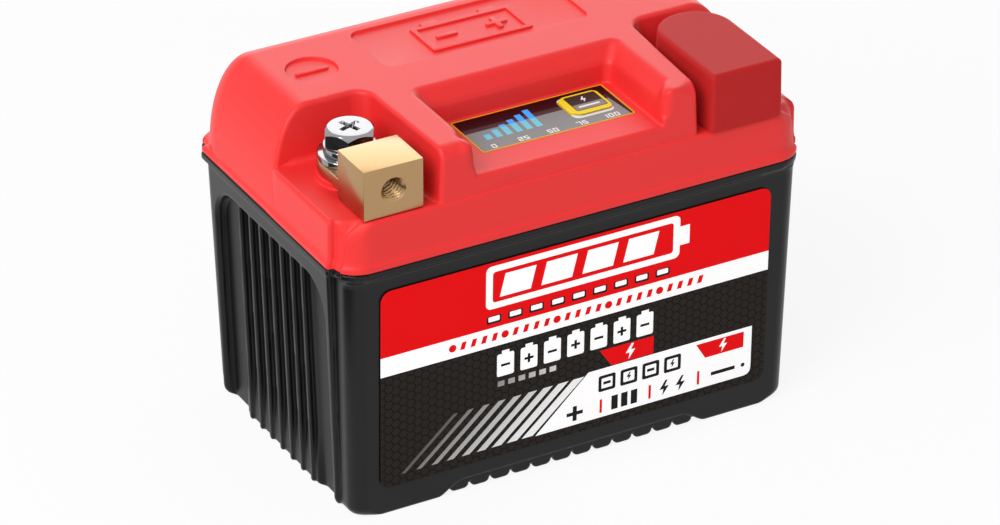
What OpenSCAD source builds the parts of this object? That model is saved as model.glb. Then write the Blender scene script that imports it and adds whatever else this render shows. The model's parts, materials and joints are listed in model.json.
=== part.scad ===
// Small 12 V lithium motorcycle battery: a ribbed black case, a red cover with a charge gauge,
// two brass block terminals held by M6 screws, a loose cap over the positive one, and four cells inside.
// Millimetres. The origin is the bottom centre of the case, +X points to the positive end and
// the label faces -Y.

/* [Case] */
// Length over the two end panels' seam lip
case_len = 113; // [110:1:118]
// Depth over the front and back seam lip
case_dep = 70; // [68:1:74]
// Height of the seam between case and cover
seam_z = 60; // [59:0.5:63]
// Wall thickness of case and cover
wall = 2.2; // [1.8:0.1:2.4]
// Inward taper of each wall from seam to floor
draft = 1.2; // [0.6:0.1:1.6]
// Radius of the four vertical corners
corner_r = 5; // [4:0.5:6]
// How far the seam lip stands out of the walls
lip_out = 0.5; // [0.3:0.1:0.7]
// Height of the seam lip on each shell
lip_h = 1.5; // [1:0.1:2]
// How far each end panel stands out of the corners
panel_out = 1.4; // [1:0.1:1.6]
// How far the front and back faces stand out of the corners
slab_out = 0.8; // [0.5:0.1:1]
// Width of the vertical notch beside each end panel
notch_w = 4.4; // [3:0.2:5]
// Height of the corner feet
foot_h = 2.8; // [2:0.1:3.4]
// Thickness of the case floor
floor_t = 2.2; // [1.8:0.1:2.6]

/* [Case ribs] */
// Number of ribs on each end panel
rib_count = 7; // [3:2:9]
// Distance between end ribs
rib_pitch = 5.1; // [4:0.1:5.4]
// Width of an end rib's crest
rib_w = 1.9; // [1.4:0.1:2.4]
// Depth of the recess that the end ribs stand in
rib_depth = 1.2; // [0.8:0.1:1.4]
// Number of teeth under the case
tooth_count = 11; // [5:2:11]
// Distance between the teeth
tooth_pitch = 4.8; // [4.2:0.1:4.9]
// Height of a tooth
tooth_h = 1.7; // [1:0.1:1.9]

/* [Cover] */
// Height of the cover's top plane above the seam
cover_h = 23.5; // [23:0.1:25]
// Radius of the cover's back and end shoulders
shoulder_r = 9; // [7:0.5:10]
// Height of the terminal ledges above the seam
ledge_h = 11.3; // [11:0.1:11.8]
// Clear space between a terminal block and the wall beside it
pocket_side_gap = 4.6; // [4.2:0.1:5]
// Clear space between a terminal tongue and the wall behind it
pocket_back_gap = 3.4; // [2.8:0.1:4]
// Radius of a pocket's inner upright corner
pocket_r = 3.5; // [2:0.5:5]
// Length of the sunk panel on top
top_panel_len = 49.4; // [44:0.5:52]
// Depth of the sunk panel, front to back
top_panel_dep = 18; // [16:0.5:19]
// How deep the top panel and the polarity discs are sunk
emboss = 0.7; // [0.4:0.1:0.9]
// Diameter of a sunk polarity disc
polarity_d = 11.2; // [9:0.2:12]

/* [Gauge] */
// Length of the gauge window
gauge_len = 36.8; // [36:0.2:37.6]
// Depth of the gauge window, front to back
gauge_dep = 14.9; // [14.3:0.1:15.3]
// Sideways place of the gauge
gauge_cx = -0.4; // [-0.8:0.1:0.8]
// Depth of the gauge recess below the cover's top
gauge_sink = 8; // [7.6:0.1:8.2]
// Width of the recess floor outside the window
gauge_rim = 0.6; // [0.4:0.1:0.8]
// How far the recess walls lean out from floor to top
gauge_lean = 5; // [3:0.2:5.2]
// Number of charge bars
bar_count = 6; // [4:1:6]
// Distance between charge bars
bar_pitch = 2.15; // [2:0.05:2.3]
// Side of the square test key
key_side = 6.6; // [5.4:0.1:7]
// Travel of the test key
key_travel = 0.4; // [0.2:0.1:0.5]

/* [Terminals] */
// Distance of the negative screw from the end of the case
neg_inset = 13.6; // [13.2:0.1:14.4]
// Distance of the positive screw from the end of the case
pos_inset = 15.7; // [15.2:0.1:16.4]
// Setback of the blocks from the front of the case
block_setback = 1.8; // [1.7:0.1:2.4]
// Width of a terminal block
block_w = 13.8; // [13.2:0.1:14.2]
// Depth of a terminal block
block_d = 11.5; // [11:0.1:12]
// Height of a terminal block
block_h = 11.4; // [10.8:0.1:11.6]
// Thickness of the tongue behind the block
tongue_t = 2.6; // [2.2:0.1:2.8]
// Diameter of the tapped hole in the block's front face
tap_d = 5.2; // [4.8:0.1:5.6]
// Nominal diameter of the terminal screws
screw_d = 5.9; // [5.5:0.1:6.1]
// Length of the screws below the head
screw_len = 16; // [14:0.5:16.5]
// Height of the hexagon head
head_h = 4; // [3.4:0.1:4]
// Width across flats of the hexagon head
head_af = 10; // [9:0.5:11]
// Thickness of the flat washer
flat_washer_t = 1.4; // [1:0.1:1.6]
// Thickness of the spring washer
spring_washer_t = 1.6; // [1.2:0.1:1.6]
// Wall of the positive terminal's cap
cap_wall = 1.1; // [1:0.1:1.2]

/* [Cells] */
// Room between a cell's end and the end of the case, for the straps and leads
end_room = 23.9; // [23.5:0.1:25]
// Thickness of the foam in front of the cells and behind them
side_foam_t = 2.5; // [2:0.1:3]
// Room above the cells, from the holders' top to the underside of the terminal ledges
board_room = 7.3; // [7.2:0.1:8]
// Thickness of the sleeve around a cell
sleeve_t = 0.25; // [0.15:0.05:0.3]
// Thickness of the end caps that hold the cells
holder_t = 6; // [5:0.5:7]
// Thickness of the copper straps
strap_t = 0.8; // [0.5:0.1:1]
// Thickness of the foam pad under the cells
foam_t = 1.4; // [1:0.1:1.6]

/* [Electronics] */
// Depth of the balancing board
board_dep = 50; // [44:1:52]
// Thickness of both circuit boards
board_t = 1.6; // [1.2:0.1:1.6]
// Diameter of the heavy leads
lead_d = 4.6; // [4:0.1:5]
// Diameter of the thin balance wires
wire_d = 1.3; // [1:0.1:1.5]

/* [Hidden] */
$fn = 48;
e = 0.01;                                  // cut overrun
fit = 0.1;                                 // clearance of a piece in its seat
soft_fit = 0.3;                            // clearance of a soft piece
round_fn = 32;                             // facets of the rounded shells
half_len = case_len / 2;
half_dep = case_dep / 2;
face_x = half_len - lip_out;               // end panel at the seam
face_y = half_dep - lip_out;               // front face at the seam
core_x = face_x - panel_out;               // corner body at the seam
core_y = face_y - slab_out;
panel_half = core_y - notch_w;             // half width of an end panel
slab_half = core_x - 2.2;                  // half length of the front face
draft_angle = atan(draft / (seam_z - foot_h));
floor_z = foot_h + floor_t;                // inside floor of the case
in_x = core_x - wall;                      // inside of the case at the seam
in_y = core_y - wall;
foot_x = 31;                               // inner end of the corner feet
foot_y = 20;
panel_top = seam_z - 6.5;                  // top of the ribbed recess
panel_side = rib_pitch * (rib_count - 1) / 2 + 9.2;
panel_r = 8;

top_z = seam_z + cover_h;
ledge_z = seam_z + ledge_h;
shoulder_x = core_x + 0.4;                 // cover's end and back faces above the ledge
shoulder_y = core_y + 0.5;
edge_r = 1.8;                              // front top edge of the cover
gauge_z = top_z - gauge_sink;              // floor of the gauge recess
gauge_in = 24.8;                           // back edge of the recess floor, from the front
gauge_y1 = -half_dep + gauge_in;
gauge_cy = gauge_y1 - gauge_rim - gauge_dep / 2;
gauge_half = gauge_len / 2 + gauge_rim;
film_t = 0.4;                              // gauge film and its seat
film_z = gauge_z - film_t + fit;           // underside of the film
gauge_floor_z = gauge_z - wall;            // underside of the gauge floor
top_panel_y0 = 4;
top_panel_r = 2.5;
mark_y = top_panel_y0 + 7.2;               // polarity disc centres
mark_x = top_panel_len / 2 + 14;
mark_h = emboss - 0.2;                     // raised marks in the sunk places

block_gap = 0.2;                           // block above the ledge
block_y0 = -half_dep + block_setback;
block_y1 = block_y0 + block_d;
washer_r = block_w / 2 - 0.1;
screw_y = block_y1 + block_w / 2 + 0.9;
neg_x = -half_len + neg_inset;
pos_x = half_len - pos_inset;
SIDES = [neg_x, pos_x];
boss_h = 1.5;                              // raised seat around the insert
boss_r = block_w / 2 + 0.1;
insert_rim_t = 0.6;
insert_r = 4.6;
insert_z0 = seam_z - 1;
tongue_z0 = ledge_z + boss_h + insert_rim_t;
tongue_z1 = tongue_z0 + tongue_t;
head_z = tongue_z1 + flat_washer_t + spring_washer_t;
block_z0 = ledge_z + block_gap;
shank_fit = 0.05;
socket_z0 = head_z - screw_len - 0.6;      // bottom of the insert's threaded bore
stud_r = 1.95;                             // lead screw, from below
stud_fit = 0.05;
stud_top = socket_z0 - 0.8;                // top of the lead screw's hole

cap_gap = 0.1;                             // cap above the ledge
cap_r = block_w / 2 + 0.4 + cap_wall;
cap_y0 = block_y0 - 0.2 - cap_wall;
cap_z0 = ledge_z + cap_gap;
cap_top = max(head_z + head_h, block_z0 + block_h) + 0.6 + 1.4;

// Four cells, two by two: the largest that fit between the foam pads and under the board
cell_gap = 0.3;                            // between neighbouring sleeves
holder_rim = 0.3;                          // holder beyond the sleeves
pack_z0 = floor_z + foam_t + 2 * soft_fit + 0.4;
pack_half = min(in_y - draft - side_foam_t - 2 * soft_fit,
    (ledge_z - wall - board_room - pack_z0) / 2);
sleeve_r = (pack_half - holder_rim - cell_gap / 2) / 2;
cell_r = sleeve_r - sleeve_t - 0.02;
cell_pitch = 2 * sleeve_r + cell_gap;
cell_z1 = pack_z0 + holder_rim + sleeve_r;
cell_z2 = cell_z1 + cell_pitch;
cell_y = cell_pitch / 2;
cell_end = half_len - end_room;
CELLS = [[-cell_y, cell_z2, 1], [cell_y, cell_z2, -1], [cell_y, cell_z1, 1], [-cell_y, cell_z1, -1]];
holder_half = pack_half;
holder_zc = (cell_z1 + cell_z2) / 2;
holder_x1 = cell_end + 1.2;                // outer face of a holder
holder_x0 = holder_x1 - holder_t;
holder_top = holder_zc + holder_half;
strap_x = cell_end + 0.3;                  // inner face of the straps
strap_w = 12;
route_gap = 11.8;
route_y = -cell_y - route_gap;             // positive lead's channel in front of the cells
lead_x = half_len - 9.5;                   // where the leads pass the ends of the pack
lug_t = 1.5;
lug_r = 5.2;
lug_z = insert_z0 - lug_t;
lug_mid = lug_z + lug_t / 2;
lead_r = lead_d / 2;
barrel_len = 5;
barrel_y = boss_r + 0.4;                   // start of a lug's barrel behind the screw
tab_out = 4.2;
tab_w = 8;
tab_drop = strap_w / 2 - strap_t / 2;      // tab foot below the cell's axis
tab_end = -strap_x - strap_t - tab_out - 0.9;
board_z = holder_top + 1.2;
post_x = holder_x0 + 1.7;
post_y = board_dep / 2 - 4;
post_r = 2.2;
post_hole = 3.2;                           // depth of a board screw's hole
board_screw_r = 1;
board_len = 2 * (post_x + 2.1);
balance_x = holder_x1 + wire_d / 2 + 0.05; // where the balance wires run down the cell ends
gboard_z = gauge_floor_z - 1.1 - board_t;  // gauge board hangs under the gauge floor
gboard_len = gauge_len - 1;
gboard_dep = gauge_dep - 1.5;
key_x = gauge_cx + gauge_len / 2 - 8.6;
key_y = gauge_cy + 1.2;
key_top = gauge_z + fit + key_travel;      // flush with the film when pressed
key_flange_t = 0.5;
bars_x = gauge_cx - gauge_len / 2 + 6.4;
bars_y = gauge_cy - 1;
bar_w = 1.3;
bar_short = 2;                             // length of the first bar
bar_step = 1;                              // each bar is this much longer than the last
lamp = [1, 1.8, 0.8];
resistor = [6.3, 3.2, 0.6];
transistor = [4, 5, 1.6];
controller = [9, 9, 1.6];
plug = [5, 12.5, 4];
small_plug = [5.5, 3.6, 3];
part_pitch = 10;                           // between the balancing parts on the board
gauge_screw_r = 0.75;
label_t = 0.3;
label_gap = 0.06;                          // adhesive under the label
label_end = 9.45;                          // from the label to the end of the case
label_len = case_len - 2 * label_end;
label_z0 = 5.8;
label_z1 = seam_z - 5.2;
steel = [0.86, 0.86, 0.88];
brass = [0.80, 0.68, 0.44];
copper = [0.80, 0.45, 0.30];
cover_red = [0.90, 0.20, 0.20];
board_green = [0.1, 0.35, 0.18];

// ---- shared shapes ----
module rrect(w, d, r) {
    square([w - 2 * r, d], center = true);
    square([w, d - 2 * r], center = true);
    for (x = [-1, 1], y = [-1, 1]) translate([x * (w / 2 - r), y * (d / 2 - r)]) circle(r);
}

// Outline of the case: corner body, end panels and front and back faces, all shrunk by g
module case_plan(g) {
    rrect(2 * (core_x - g), 2 * (core_y - g), corner_r);
    rrect(2 * (face_x - g), 2 * panel_half, 1.5);
    rrect(2 * slab_half, 2 * (face_y - g), 2.5);
}

// Outline that grows from bottom to top of a tapered wall
module tapered_plan(h, g_low) {
    k = [face_x / (face_x - g_low), face_y / (face_y - g_low)];
    linear_extrude(h, scale = k, slices = 1) case_plan(g_low);
}

module seam_lip(z, h) {
    translate([0, 0, z]) linear_extrude(h) case_plan(-lip_out);
}

module inner_plan(g = 0) {
    rrect(2 * (in_x - g), 2 * (in_y - g), corner_r - wall / 2);
}

module seal_ring(w, h) {
    linear_extrude(h) difference() {
        rrect(2 * (in_x + 1.1 + w), 2 * (in_y + 0.6 + w), corner_r);
        rrect(2 * (in_x + 1.1), 2 * (in_y + 0.6), corner_r - w);
    }
}

// A round wire swept along a smooth curve through hand-chosen points
function unit(v) = v / norm(v);
function spline(a, b, c, d, t) = 0.5 * (2 * b + (c - a) * t + (2 * a - 5 * b + 4 * c - d) * t * t
    + (3 * b - a - 3 * c + d) * t * t * t);
function smooth(p, k) = let (n = len(p) - 1) concat(
    [for (i = [0 : n - 1], j = [0 : k - 1])
        spline(p[max(i - 1, 0)], p[i], p[i + 1], p[min(i + 2, n)], j / k)], [p[n]]);
function heading(p, i) = unit(p[min(i + 1, len(p) - 1)] - p[max(i - 1, 0)]);
function side(p, i) = let (t = heading(p, i), s = i == 0 ? [0.31, 0.9, 0.3] : side(p, i - 1))
    unit(s - t * (s * t));

module wire(route, r, n = 10, k = 4) {
    p = smooth(route, k);
    rings = len(p);
    polyhedron(
        [for (i = [0 : rings - 1]) let (s = side(p, i), u = cross(heading(p, i), s))
            for (j = [0 : n - 1]) p[i] + r * (cos(360 * j / n) * s + sin(360 * j / n) * u)],
        concat([[for (j = [0 : n - 1]) j]], [[for (j = [n - 1 : -1 : 0]) (rings - 1) * n + j]],
            [for (i = [0 : rings - 2], j = [0 : n - 1]) let (m = (j + 1) % n)
                [i * n + j, (i + 1) * n + j, (i + 1) * n + m, i * n + m]]), convexity = 6);
}

// ---- case ----
module end_recess() {
    // cutter in the end face: a round-cornered panel without its ribs
    rotate([90, 0, 90]) linear_extrude(8) difference() {
        union() {
            translate([-panel_side, -10]) square([2 * panel_side, panel_top + 10 - panel_r]);
            translate([-panel_side + panel_r, 0]) square([2 * (panel_side - panel_r), panel_top]);
            for (s = [-1, 1]) translate([s * (panel_side - panel_r), panel_top - panel_r]) circle(panel_r);
        }
        for (i = [0 : rib_count - 1])
            translate([(i - (rib_count - 1) / 2) * rib_pitch - rib_w / 2, -11]) square([rib_w, 99]);
    }
}

module foot_cut() {
    // clears the underside between the corner feet, with sloped foot ends
    slope = foot_h;
    rotate([90, 0, 0]) linear_extrude(2 * half_dep + 2, center = true)
        polygon([[-foot_x, -e], [foot_x, -e], [foot_x - slope, foot_h], [-foot_x + slope, foot_h]]);
    translate([0, 0, foot_h / 2 - e]) cube([case_len + 2, 2 * foot_y, foot_h + e], center = true);
}

module case_base() color([0.18, 0.18, 0.18]) difference() {
    union() {
        difference() {
            union() {
                translate([0, 0, foot_h]) tapered_plan(seam_z - foot_h, draft);
                linear_extrude(foot_h, scale = [1.06, 1.08], slices = 1)
                    rrect(2 * (core_x - draft) / 1.06, 2 * (face_y - draft) / 1.08, corner_r);
            }
            foot_cut();
            for (a = [0, 180]) rotate([0, 0, a])
                translate([face_x - rib_depth - draft, 0, 0]) rotate([0, draft_angle, 0]) end_recess();
        }
        seam_lip(seam_z - lip_h, lip_h);
        for (i = [0 : tooth_count - 1])
            translate([(i - (tooth_count - 1) / 2) * tooth_pitch, 0, foot_h])
                rotate([90, 0, 0]) linear_extrude(2 * (face_y - draft) - 4, center = true)
                    polygon([[-1.9, e], [1.9, e], [1.3, -tooth_h], [-1.3, -tooth_h]]);
    }
    translate([0, 0, floor_z]) linear_extrude(seam_z - floor_z + e,
        scale = [in_x / (in_x - draft), in_y / (in_y - draft)], slices = 1) inner_plan(draft);
    translate([0, 0, seam_z - 1]) seal_ring(1, 2);
}

module cover_seal() color([0.1, 0.1, 0.1])
    translate([0, 0, seam_z - 1]) seal_ring(1, 1);

module front_label() color([0.89, 0.02, 0.07])
    translate([0, -(face_y - draft) - label_gap, foot_h]) rotate([draft_angle + 90, 0, 0])
        translate([0, (label_z0 + label_z1) / 2 - foot_h])
            linear_extrude(label_t) rrect(label_len, label_z1 - label_z0, 2.5);

// ---- cover ----
// Domed body above the ledge, shrunk by g on every side
module cover_dome(g) {
    r = shoulder_r - g;
    hull() {
        translate([0, 0, seam_z + 4]) linear_extrude(0.1)
            rrect(2 * (shoulder_x - g + 0.3), 2 * (shoulder_y - g + 0.3), corner_r - g, $fn = round_fn);
        for (s = [-1, 1]) {
            translate([s * (shoulder_x - shoulder_r), shoulder_y - shoulder_r, top_z - shoulder_r])
                sphere(r, $fn = round_fn);
            translate([s * (shoulder_x - shoulder_r), -shoulder_y + g + edge_r, top_z - shoulder_r])
                rotate([90, 0, 0]) cylinder(h = 0.1, r = r, $fn = round_fn);
            translate([s * (shoulder_x - shoulder_r), -shoulder_y + g + edge_r, top_z - g - edge_r])
                sphere(edge_r, $fn = 16);
        }
    }
}

// Space of one terminal pocket, grown by g, open to the end and the front of the cover
module pocket_space(x, g) {
    s = sign(x);
    inner = abs(x) - block_w / 2 - pocket_side_gap - g;
    back = screw_y + block_w / 2 + pocket_back_gap + g;
    w = case_len / 2 + 4 - inner;
    d = back + half_dep + 4;
    translate([s * (case_len / 2 + 4), -half_dep - 4, ledge_z - g])
        linear_extrude(cover_h, scale = [(w + 1.2) / w, (d + 4) / d], slices = 1)
        mirror([s > 0 ? 1 : 0, 0]) {
            square([w, d - pocket_r]);
            square([w - pocket_r, d]);
            translate([w - pocket_r, d - pocket_r]) circle(pocket_r, $fn = round_fn);
        }
}

// Space of the gauge recess, grown by g, open to the front
module gauge_space(g) {
    w = gauge_half + g;
    d = gauge_y1 + half_dep + 4 + g;
    translate([gauge_cx, -half_dep - 4, gauge_z - g])
        linear_extrude(gauge_sink + g + e, scale = [(w + gauge_lean) / w, (d + 2.2) / d], slices = 1) {
            translate([-w, 0]) square([2 * w, d - 1.5]);
            translate([-w + 1.5, 0]) square([2 * w - 3, d]);
            for (s = [-1, 1]) translate([s * (w - 1.5), d - 1.5]) circle(1.5, $fn = round_fn);
        }
}

module polarity_mark(plus) {
    translate([0, 0, top_z - emboss]) linear_extrude(mark_h) {
        square([7.6, 1.2], center = true);
        if (plus) square([1.2, 7.6], center = true);
    }
}

module battery_symbol() {
    // raised outline of a battery with two posts and a bar at each end
    translate([0, top_panel_y0 + top_panel_dep / 2 - 1, top_z - emboss]) linear_extrude(mark_h) {
        difference() {
            square([24, 11], center = true);
            square([21.6, 8.6], center = true);
        }
        for (s = [-1, 1]) translate([s * 7, 6.3]) square([4, 1.8], center = true);
        for (s = [-1, 1]) translate([s * 6, 0]) square([5, 1.2], center = true);
        translate([6, 0]) square([1.2, 5], center = true);
    }
}

module case_cover() color(cover_red) difference() {
    union() {
        difference() {
            union() {
                seam_lip(seam_z, lip_h);
                translate([0, 0, seam_z + lip_h - e])
                    linear_extrude(ledge_h - lip_h + e, scale = 0.985, slices = 1) case_plan(0);
                cover_dome(0);
            }
            for (x = SIDES) pocket_space(x, 0);
            gauge_space(0);
            translate([0, 0, seam_z - e]) difference() {
                union() {
                    linear_extrude(ledge_h - wall, scale = 0.985, slices = 1) inner_plan();
                    translate([0, 0, -seam_z]) cover_dome(wall);
                }
                translate([0, 0, -seam_z]) {
                    for (x = SIDES) pocket_space(x, wall);
                    gauge_space(wall);
                }
            }
            translate([0, top_panel_y0 + top_panel_dep / 2, top_z - emboss])
                linear_extrude(3) rrect(top_panel_len, top_panel_dep, top_panel_r);
            for (s = [-1, 1]) translate([s * mark_x, mark_y, top_z - emboss])
                cylinder(h = 3, d = polarity_d);
        }
        for (x = SIDES) translate([x, screw_y, insert_z0 + 0.8])
            cylinder(h = ledge_z + boss_h - insert_z0 - 0.8, r = boss_r);
        translate([-mark_x, mark_y, 0]) polarity_mark(false);
        translate([mark_x, mark_y, 0]) polarity_mark(true);
        battery_symbol();
        for (x = [-1, 1]) translate([gauge_cx + x * (gboard_len / 2 - 2), gauge_cy, gboard_z + board_t])
            cylinder(h = gauge_floor_z - gboard_z - board_t + e, r = 1.8);
    }
    for (x = SIDES) translate([x, screw_y, insert_z0 - e])
        cylinder(h = ledge_z + boss_h - insert_z0 + 2 * e, r = insert_r);
    translate([gauge_cx, gauge_cy, gauge_z - film_t]) linear_extrude(9)
        rrect(gauge_len, gauge_dep, 0.6);
    translate([key_x, key_y, gauge_floor_z - e]) linear_extrude(9)
        rrect(key_side + 2 * fit, key_side + 2 * fit, 1.1);
    for (i = [0 : bar_count - 1]) translate([bars_x + i * bar_pitch, bars_y, gauge_floor_z - e])
        linear_extrude(9) square([bar_w + 2 * fit, bar_short + i * bar_step + 2 * fit], center = true);
    for (x = [-1, 1]) translate([gauge_cx + x * (gboard_len / 2 - 2), gauge_cy, gboard_z + board_t - e])
        cylinder(h = 2.4, r = 0.8);
}

// ---- charge gauge ----
module gauge_film() color([0.25, 0.25, 0.27]) translate([0, 0, film_z]) linear_extrude(film_t) difference() {
    translate([gauge_cx, gauge_cy]) rrect(gauge_len - 2 * fit, gauge_dep - 2 * fit, 0.5);
    translate([key_x, key_y]) rrect(key_side + 2 * fit, key_side + 2 * fit, 1.1);
}

module gauge_light_bars() color([0.35, 0.75, 1])
    for (i = [0 : bar_count - 1]) translate([bars_x + i * bar_pitch, bars_y, gauge_floor_z])
        linear_extrude(film_z - gauge_floor_z) square([bar_w, bar_short + i * bar_step], center = true);

module gauge_board() color(board_green)
    translate([gauge_cx, gauge_cy, gboard_z]) linear_extrude(board_t) difference() {
        square([gboard_len, gboard_dep], center = true);
        for (x = [-1, 1]) translate([x * (gboard_len / 2 - 2), 0]) circle(1);
    }

module gauge_leds() color([0.9, 0.9, 0.8])
    for (i = [0 : bar_count - 1])
        translate([bars_x + i * bar_pitch, bars_y, gboard_z + board_t + lamp[2] / 2])
        cube(lamp, center = true);

module test_switch() color([0.15, 0.15, 0.15]) translate([key_x, key_y, gboard_z + board_t]) {
    linear_extrude(0.6) rrect(4.6, 4.6, 0.3);
    cylinder(h = 0.9, d = 2.2);
}

module test_key() color([0.95, 0.8, 0.15]) translate([key_x, key_y, 0]) {
    skirt_z = gauge_floor_z - 0.05 - key_flange_t;
    translate([0, 0, gauge_floor_z + key_travel]) linear_extrude(key_top - gauge_floor_z - key_travel)
        rrect(key_side, key_side, 1);
    translate([0, 0, gboard_z + board_t + 0.95 + key_travel])
        cylinder(h = gauge_floor_z - gboard_z - board_t - 0.9, d = 1.8);
    difference() {
        translate([0, 0, skirt_z]) {
            linear_extrude(key_flange_t) rrect(key_side + 1.6, key_side + 1.6, 1);
            linear_extrude(gauge_floor_z + key_travel - skirt_z) rrect(key_side, key_side, 1);
        }
        translate([0, 0, skirt_z - e]) linear_extrude(gauge_floor_z + key_travel - skirt_z + e)
            rrect(key_side - 1.3, key_side - 1.3, 0.4);
    }
}

module gauge_board_screws() color(steel)
    for (x = [-1, 1]) translate([gauge_cx + x * (gboard_len / 2 - 2), gauge_cy, gboard_z]) {
        cylinder(h = board_t + 2, r = gauge_screw_r);
        translate([0, 0, -1]) cylinder(h = 1, r = 2 * gauge_screw_r);
    }

module gauge_plug() color([0.9, 0.9, 0.85])
    translate([gauge_cx - gboard_len / 2 + 8, gauge_cy, gboard_z - small_plug[2] / 2])
        cube(small_plug, center = true);

// ---- terminals ----
module terminal_block(x) color(brass) translate([x, 0, 0]) difference() {
    union() {
        translate([-block_w / 2, block_y0, block_z0]) cube([block_w, block_d, block_h]);
        translate([-block_w / 2, block_y1 - 1, tongue_z0]) cube([block_w, screw_y - block_y1 + 1, tongue_t]);
        translate([0, screw_y, tongue_z0]) cylinder(h = tongue_t, d = block_w);
    }
    translate([0, block_y0 - e, block_z0 + block_h / 2]) rotate([-90, 0, 0]) {
        cylinder(h = block_d + 2 * e, d = tap_d);
        cylinder(h = 0.4, d1 = tap_d + 0.8, d2 = tap_d);
    }
    translate([0, screw_y, tongue_z0 - e]) cylinder(h = tongue_t + 2 * e, d = screw_d + 0.7);
}

module terminal_insert(x) color(brass) translate([x, screw_y, 0]) difference() {
    union() {
        translate([0, 0, insert_z0]) cylinder(h = ledge_z + boss_h - insert_z0 + e, r = insert_r);
        translate([0, 0, ledge_z + boss_h]) cylinder(h = insert_rim_t, r = insert_r + 1.7);
    }
    translate([0, 0, socket_z0]) cylinder(h = screw_len + boss_h, d = screw_d + 2 * shank_fit);
    translate([0, 0, insert_z0 - 1]) cylinder(h = stud_top - insert_z0 + 1, r = stud_r + stud_fit);
}

module hexagon_head() intersection() {
    cylinder(h = head_h, d = head_af / cos(30), $fn = 6);
    cylinder(h = head_h + 2.4, d1 = head_af + 5.9, d2 = head_af - 1.9);
}

module terminal_screw(x) color(steel) translate([x, screw_y, 0]) difference() {
    union() {
        translate([0, 0, head_z]) hexagon_head();
        translate([0, 0, head_z - screw_len]) cylinder(h = screw_len + e, d = screw_d);
    }
    // cross recess
    for (a = [20, 110]) translate([0, 0, head_z + head_h]) rotate([0, 0, a])
        cube([5.2, 1, 2.6], center = true);
}

module flat_washer(x) color(steel) translate([x, screw_y, tongue_z1]) difference() {
    cylinder(h = flat_washer_t, r = washer_r);
    translate([0, 0, -e]) cylinder(h = 9, d = screw_d + 0.5);
}

module spring_washer(x) color(steel) translate([x, screw_y, tongue_z1 + flat_washer_t]) difference() {
    cylinder(h = spring_washer_t, r = washer_r - 1.2);
    translate([0, 0, -e]) cylinder(h = 9, d = screw_d + 0.4);
    rotate([0, 0, 200]) translate([washer_r / 2, 0, 0]) cube([washer_r, 0.6, 9], center = true);
}

module cap_plan(g) {
    translate([-cap_r + g, cap_y0 + g]) square([2 * (cap_r - g), screw_y - cap_y0 - g]);
    translate([0, screw_y]) circle(cap_r - g);
}

module pos_terminal_cap() color([0.78, 0.2, 0.2]) translate([pos_x, 0, 0]) difference() {
    hull() {
        translate([0, 0, cap_z0]) linear_extrude(cap_top - cap_z0 - 1) cap_plan(0);
        translate([0, 0, cap_z0]) linear_extrude(cap_top - cap_z0) cap_plan(1);
    }
    translate([0, 0, cap_z0 - e]) linear_extrude(cap_top - cap_z0 - 1.4 + e) cap_plan(cap_wall);
}

// ---- cells ----
module cell(i) {
    c = CELLS[i - 1];
    color([0.72, 0.74, 0.76]) translate([0, c[0], c[1]]) rotate([0, 90 * c[2], 0]) rotate_extrude()
        polygon([[0, -cell_end], [cell_r - 0.8, -cell_end], [cell_r, -cell_end + 0.8],
            [cell_r, cell_end - 4.6], [cell_r - 0.9, cell_end - 4], [cell_r, cell_end - 3.4],
            [cell_r, cell_end - 1.2], [cell_r - 1.8, cell_end - 0.6], [5.4, cell_end - 0.6],
            [5, cell_end], [0, cell_end]]);
}

module cell_sleeves() color([0.15, 0.42, 0.68])
    for (c = CELLS) translate([-holder_x0 + 1, c[0], c[1]]) rotate([0, 90, 0]) difference() {
        cylinder(h = 2 * holder_x0 - 2, r = sleeve_r);
        translate([0, 0, -e]) cylinder(h = 2 * holder_x0, r = cell_r + 0.02);
    }

module cell_insulators() color([0.93, 0.93, 0.9])
    for (c = CELLS) translate([c[2] * (cell_end - 0.58), c[0], c[1]]) rotate([0, 90 * c[2], 0]) difference() {
        cylinder(h = 0.4, r = cell_r - 2.2);
        translate([0, 0, -e]) cylinder(h = 2, r = 5.8);
    }

module cell_holder(s) color([0.2, 0.2, 0.22]) difference() {
    union() {
        translate([s * (holder_x0 + holder_x1) / 2, 0, holder_zc]) rotate([0, 90, 0])
            linear_extrude(holder_t, center = true) rrect(2 * holder_half, 2 * holder_half, 6);
        for (y = [-1, 1]) translate([s * post_x, y * post_y, holder_top - 1])
            cylinder(h = board_z - holder_top + 1, r = post_r);
    }
    for (c = CELLS) translate([s * holder_x0, c[0], c[1]]) rotate([0, 90 * s, 0]) {
        translate([0, 0, -1]) cylinder(h = holder_t - 0.2, r = cell_r + fit);
        cylinder(h = holder_t + 1, r = 9.5);
    }
    // room for the straps between neighbouring cells
    for (z = [cell_z1, cell_z2]) translate([s * (holder_x1 - 0.1), 0, z])
        cube([2.4, 2 * cell_pitch - 8, strap_w + 1], center = true);
    for (y = [-cell_y, 0, cell_y]) translate([s * (holder_x1 - 0.1), y, holder_zc])
        cube([2.4, strap_w + 1, 2 * cell_pitch - 8], center = true);
    translate([s * holder_x0, route_y, holder_zc]) rotate([0, 90, 0])
        cylinder(h = 3 * holder_t, r = lead_d / 2 + 0.6, center = true);
    translate([s * holder_x0, route_y - 4, holder_zc]) cube([3 * holder_t, 8, lead_d + 1.2], center = true);
    for (y = [-1, 1]) translate([s * post_x, y * post_y, board_z - post_hole])
        cylinder(h = 2 * post_hole, r = board_screw_r + fit);
}

module strap(s, a, b) {
    // copper link between the ends of cells a and b, at end s
    p = CELLS[a - 1];
    q = CELLS[b - 1];
    color(copper) translate([s * (strap_x + strap_t / 2), (p[0] + q[0]) / 2, (p[1] + q[1]) / 2])
        cube([strap_t, abs(p[0] - q[0]) + strap_w, abs(p[1] - q[1]) + strap_w], center = true);
}

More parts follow.
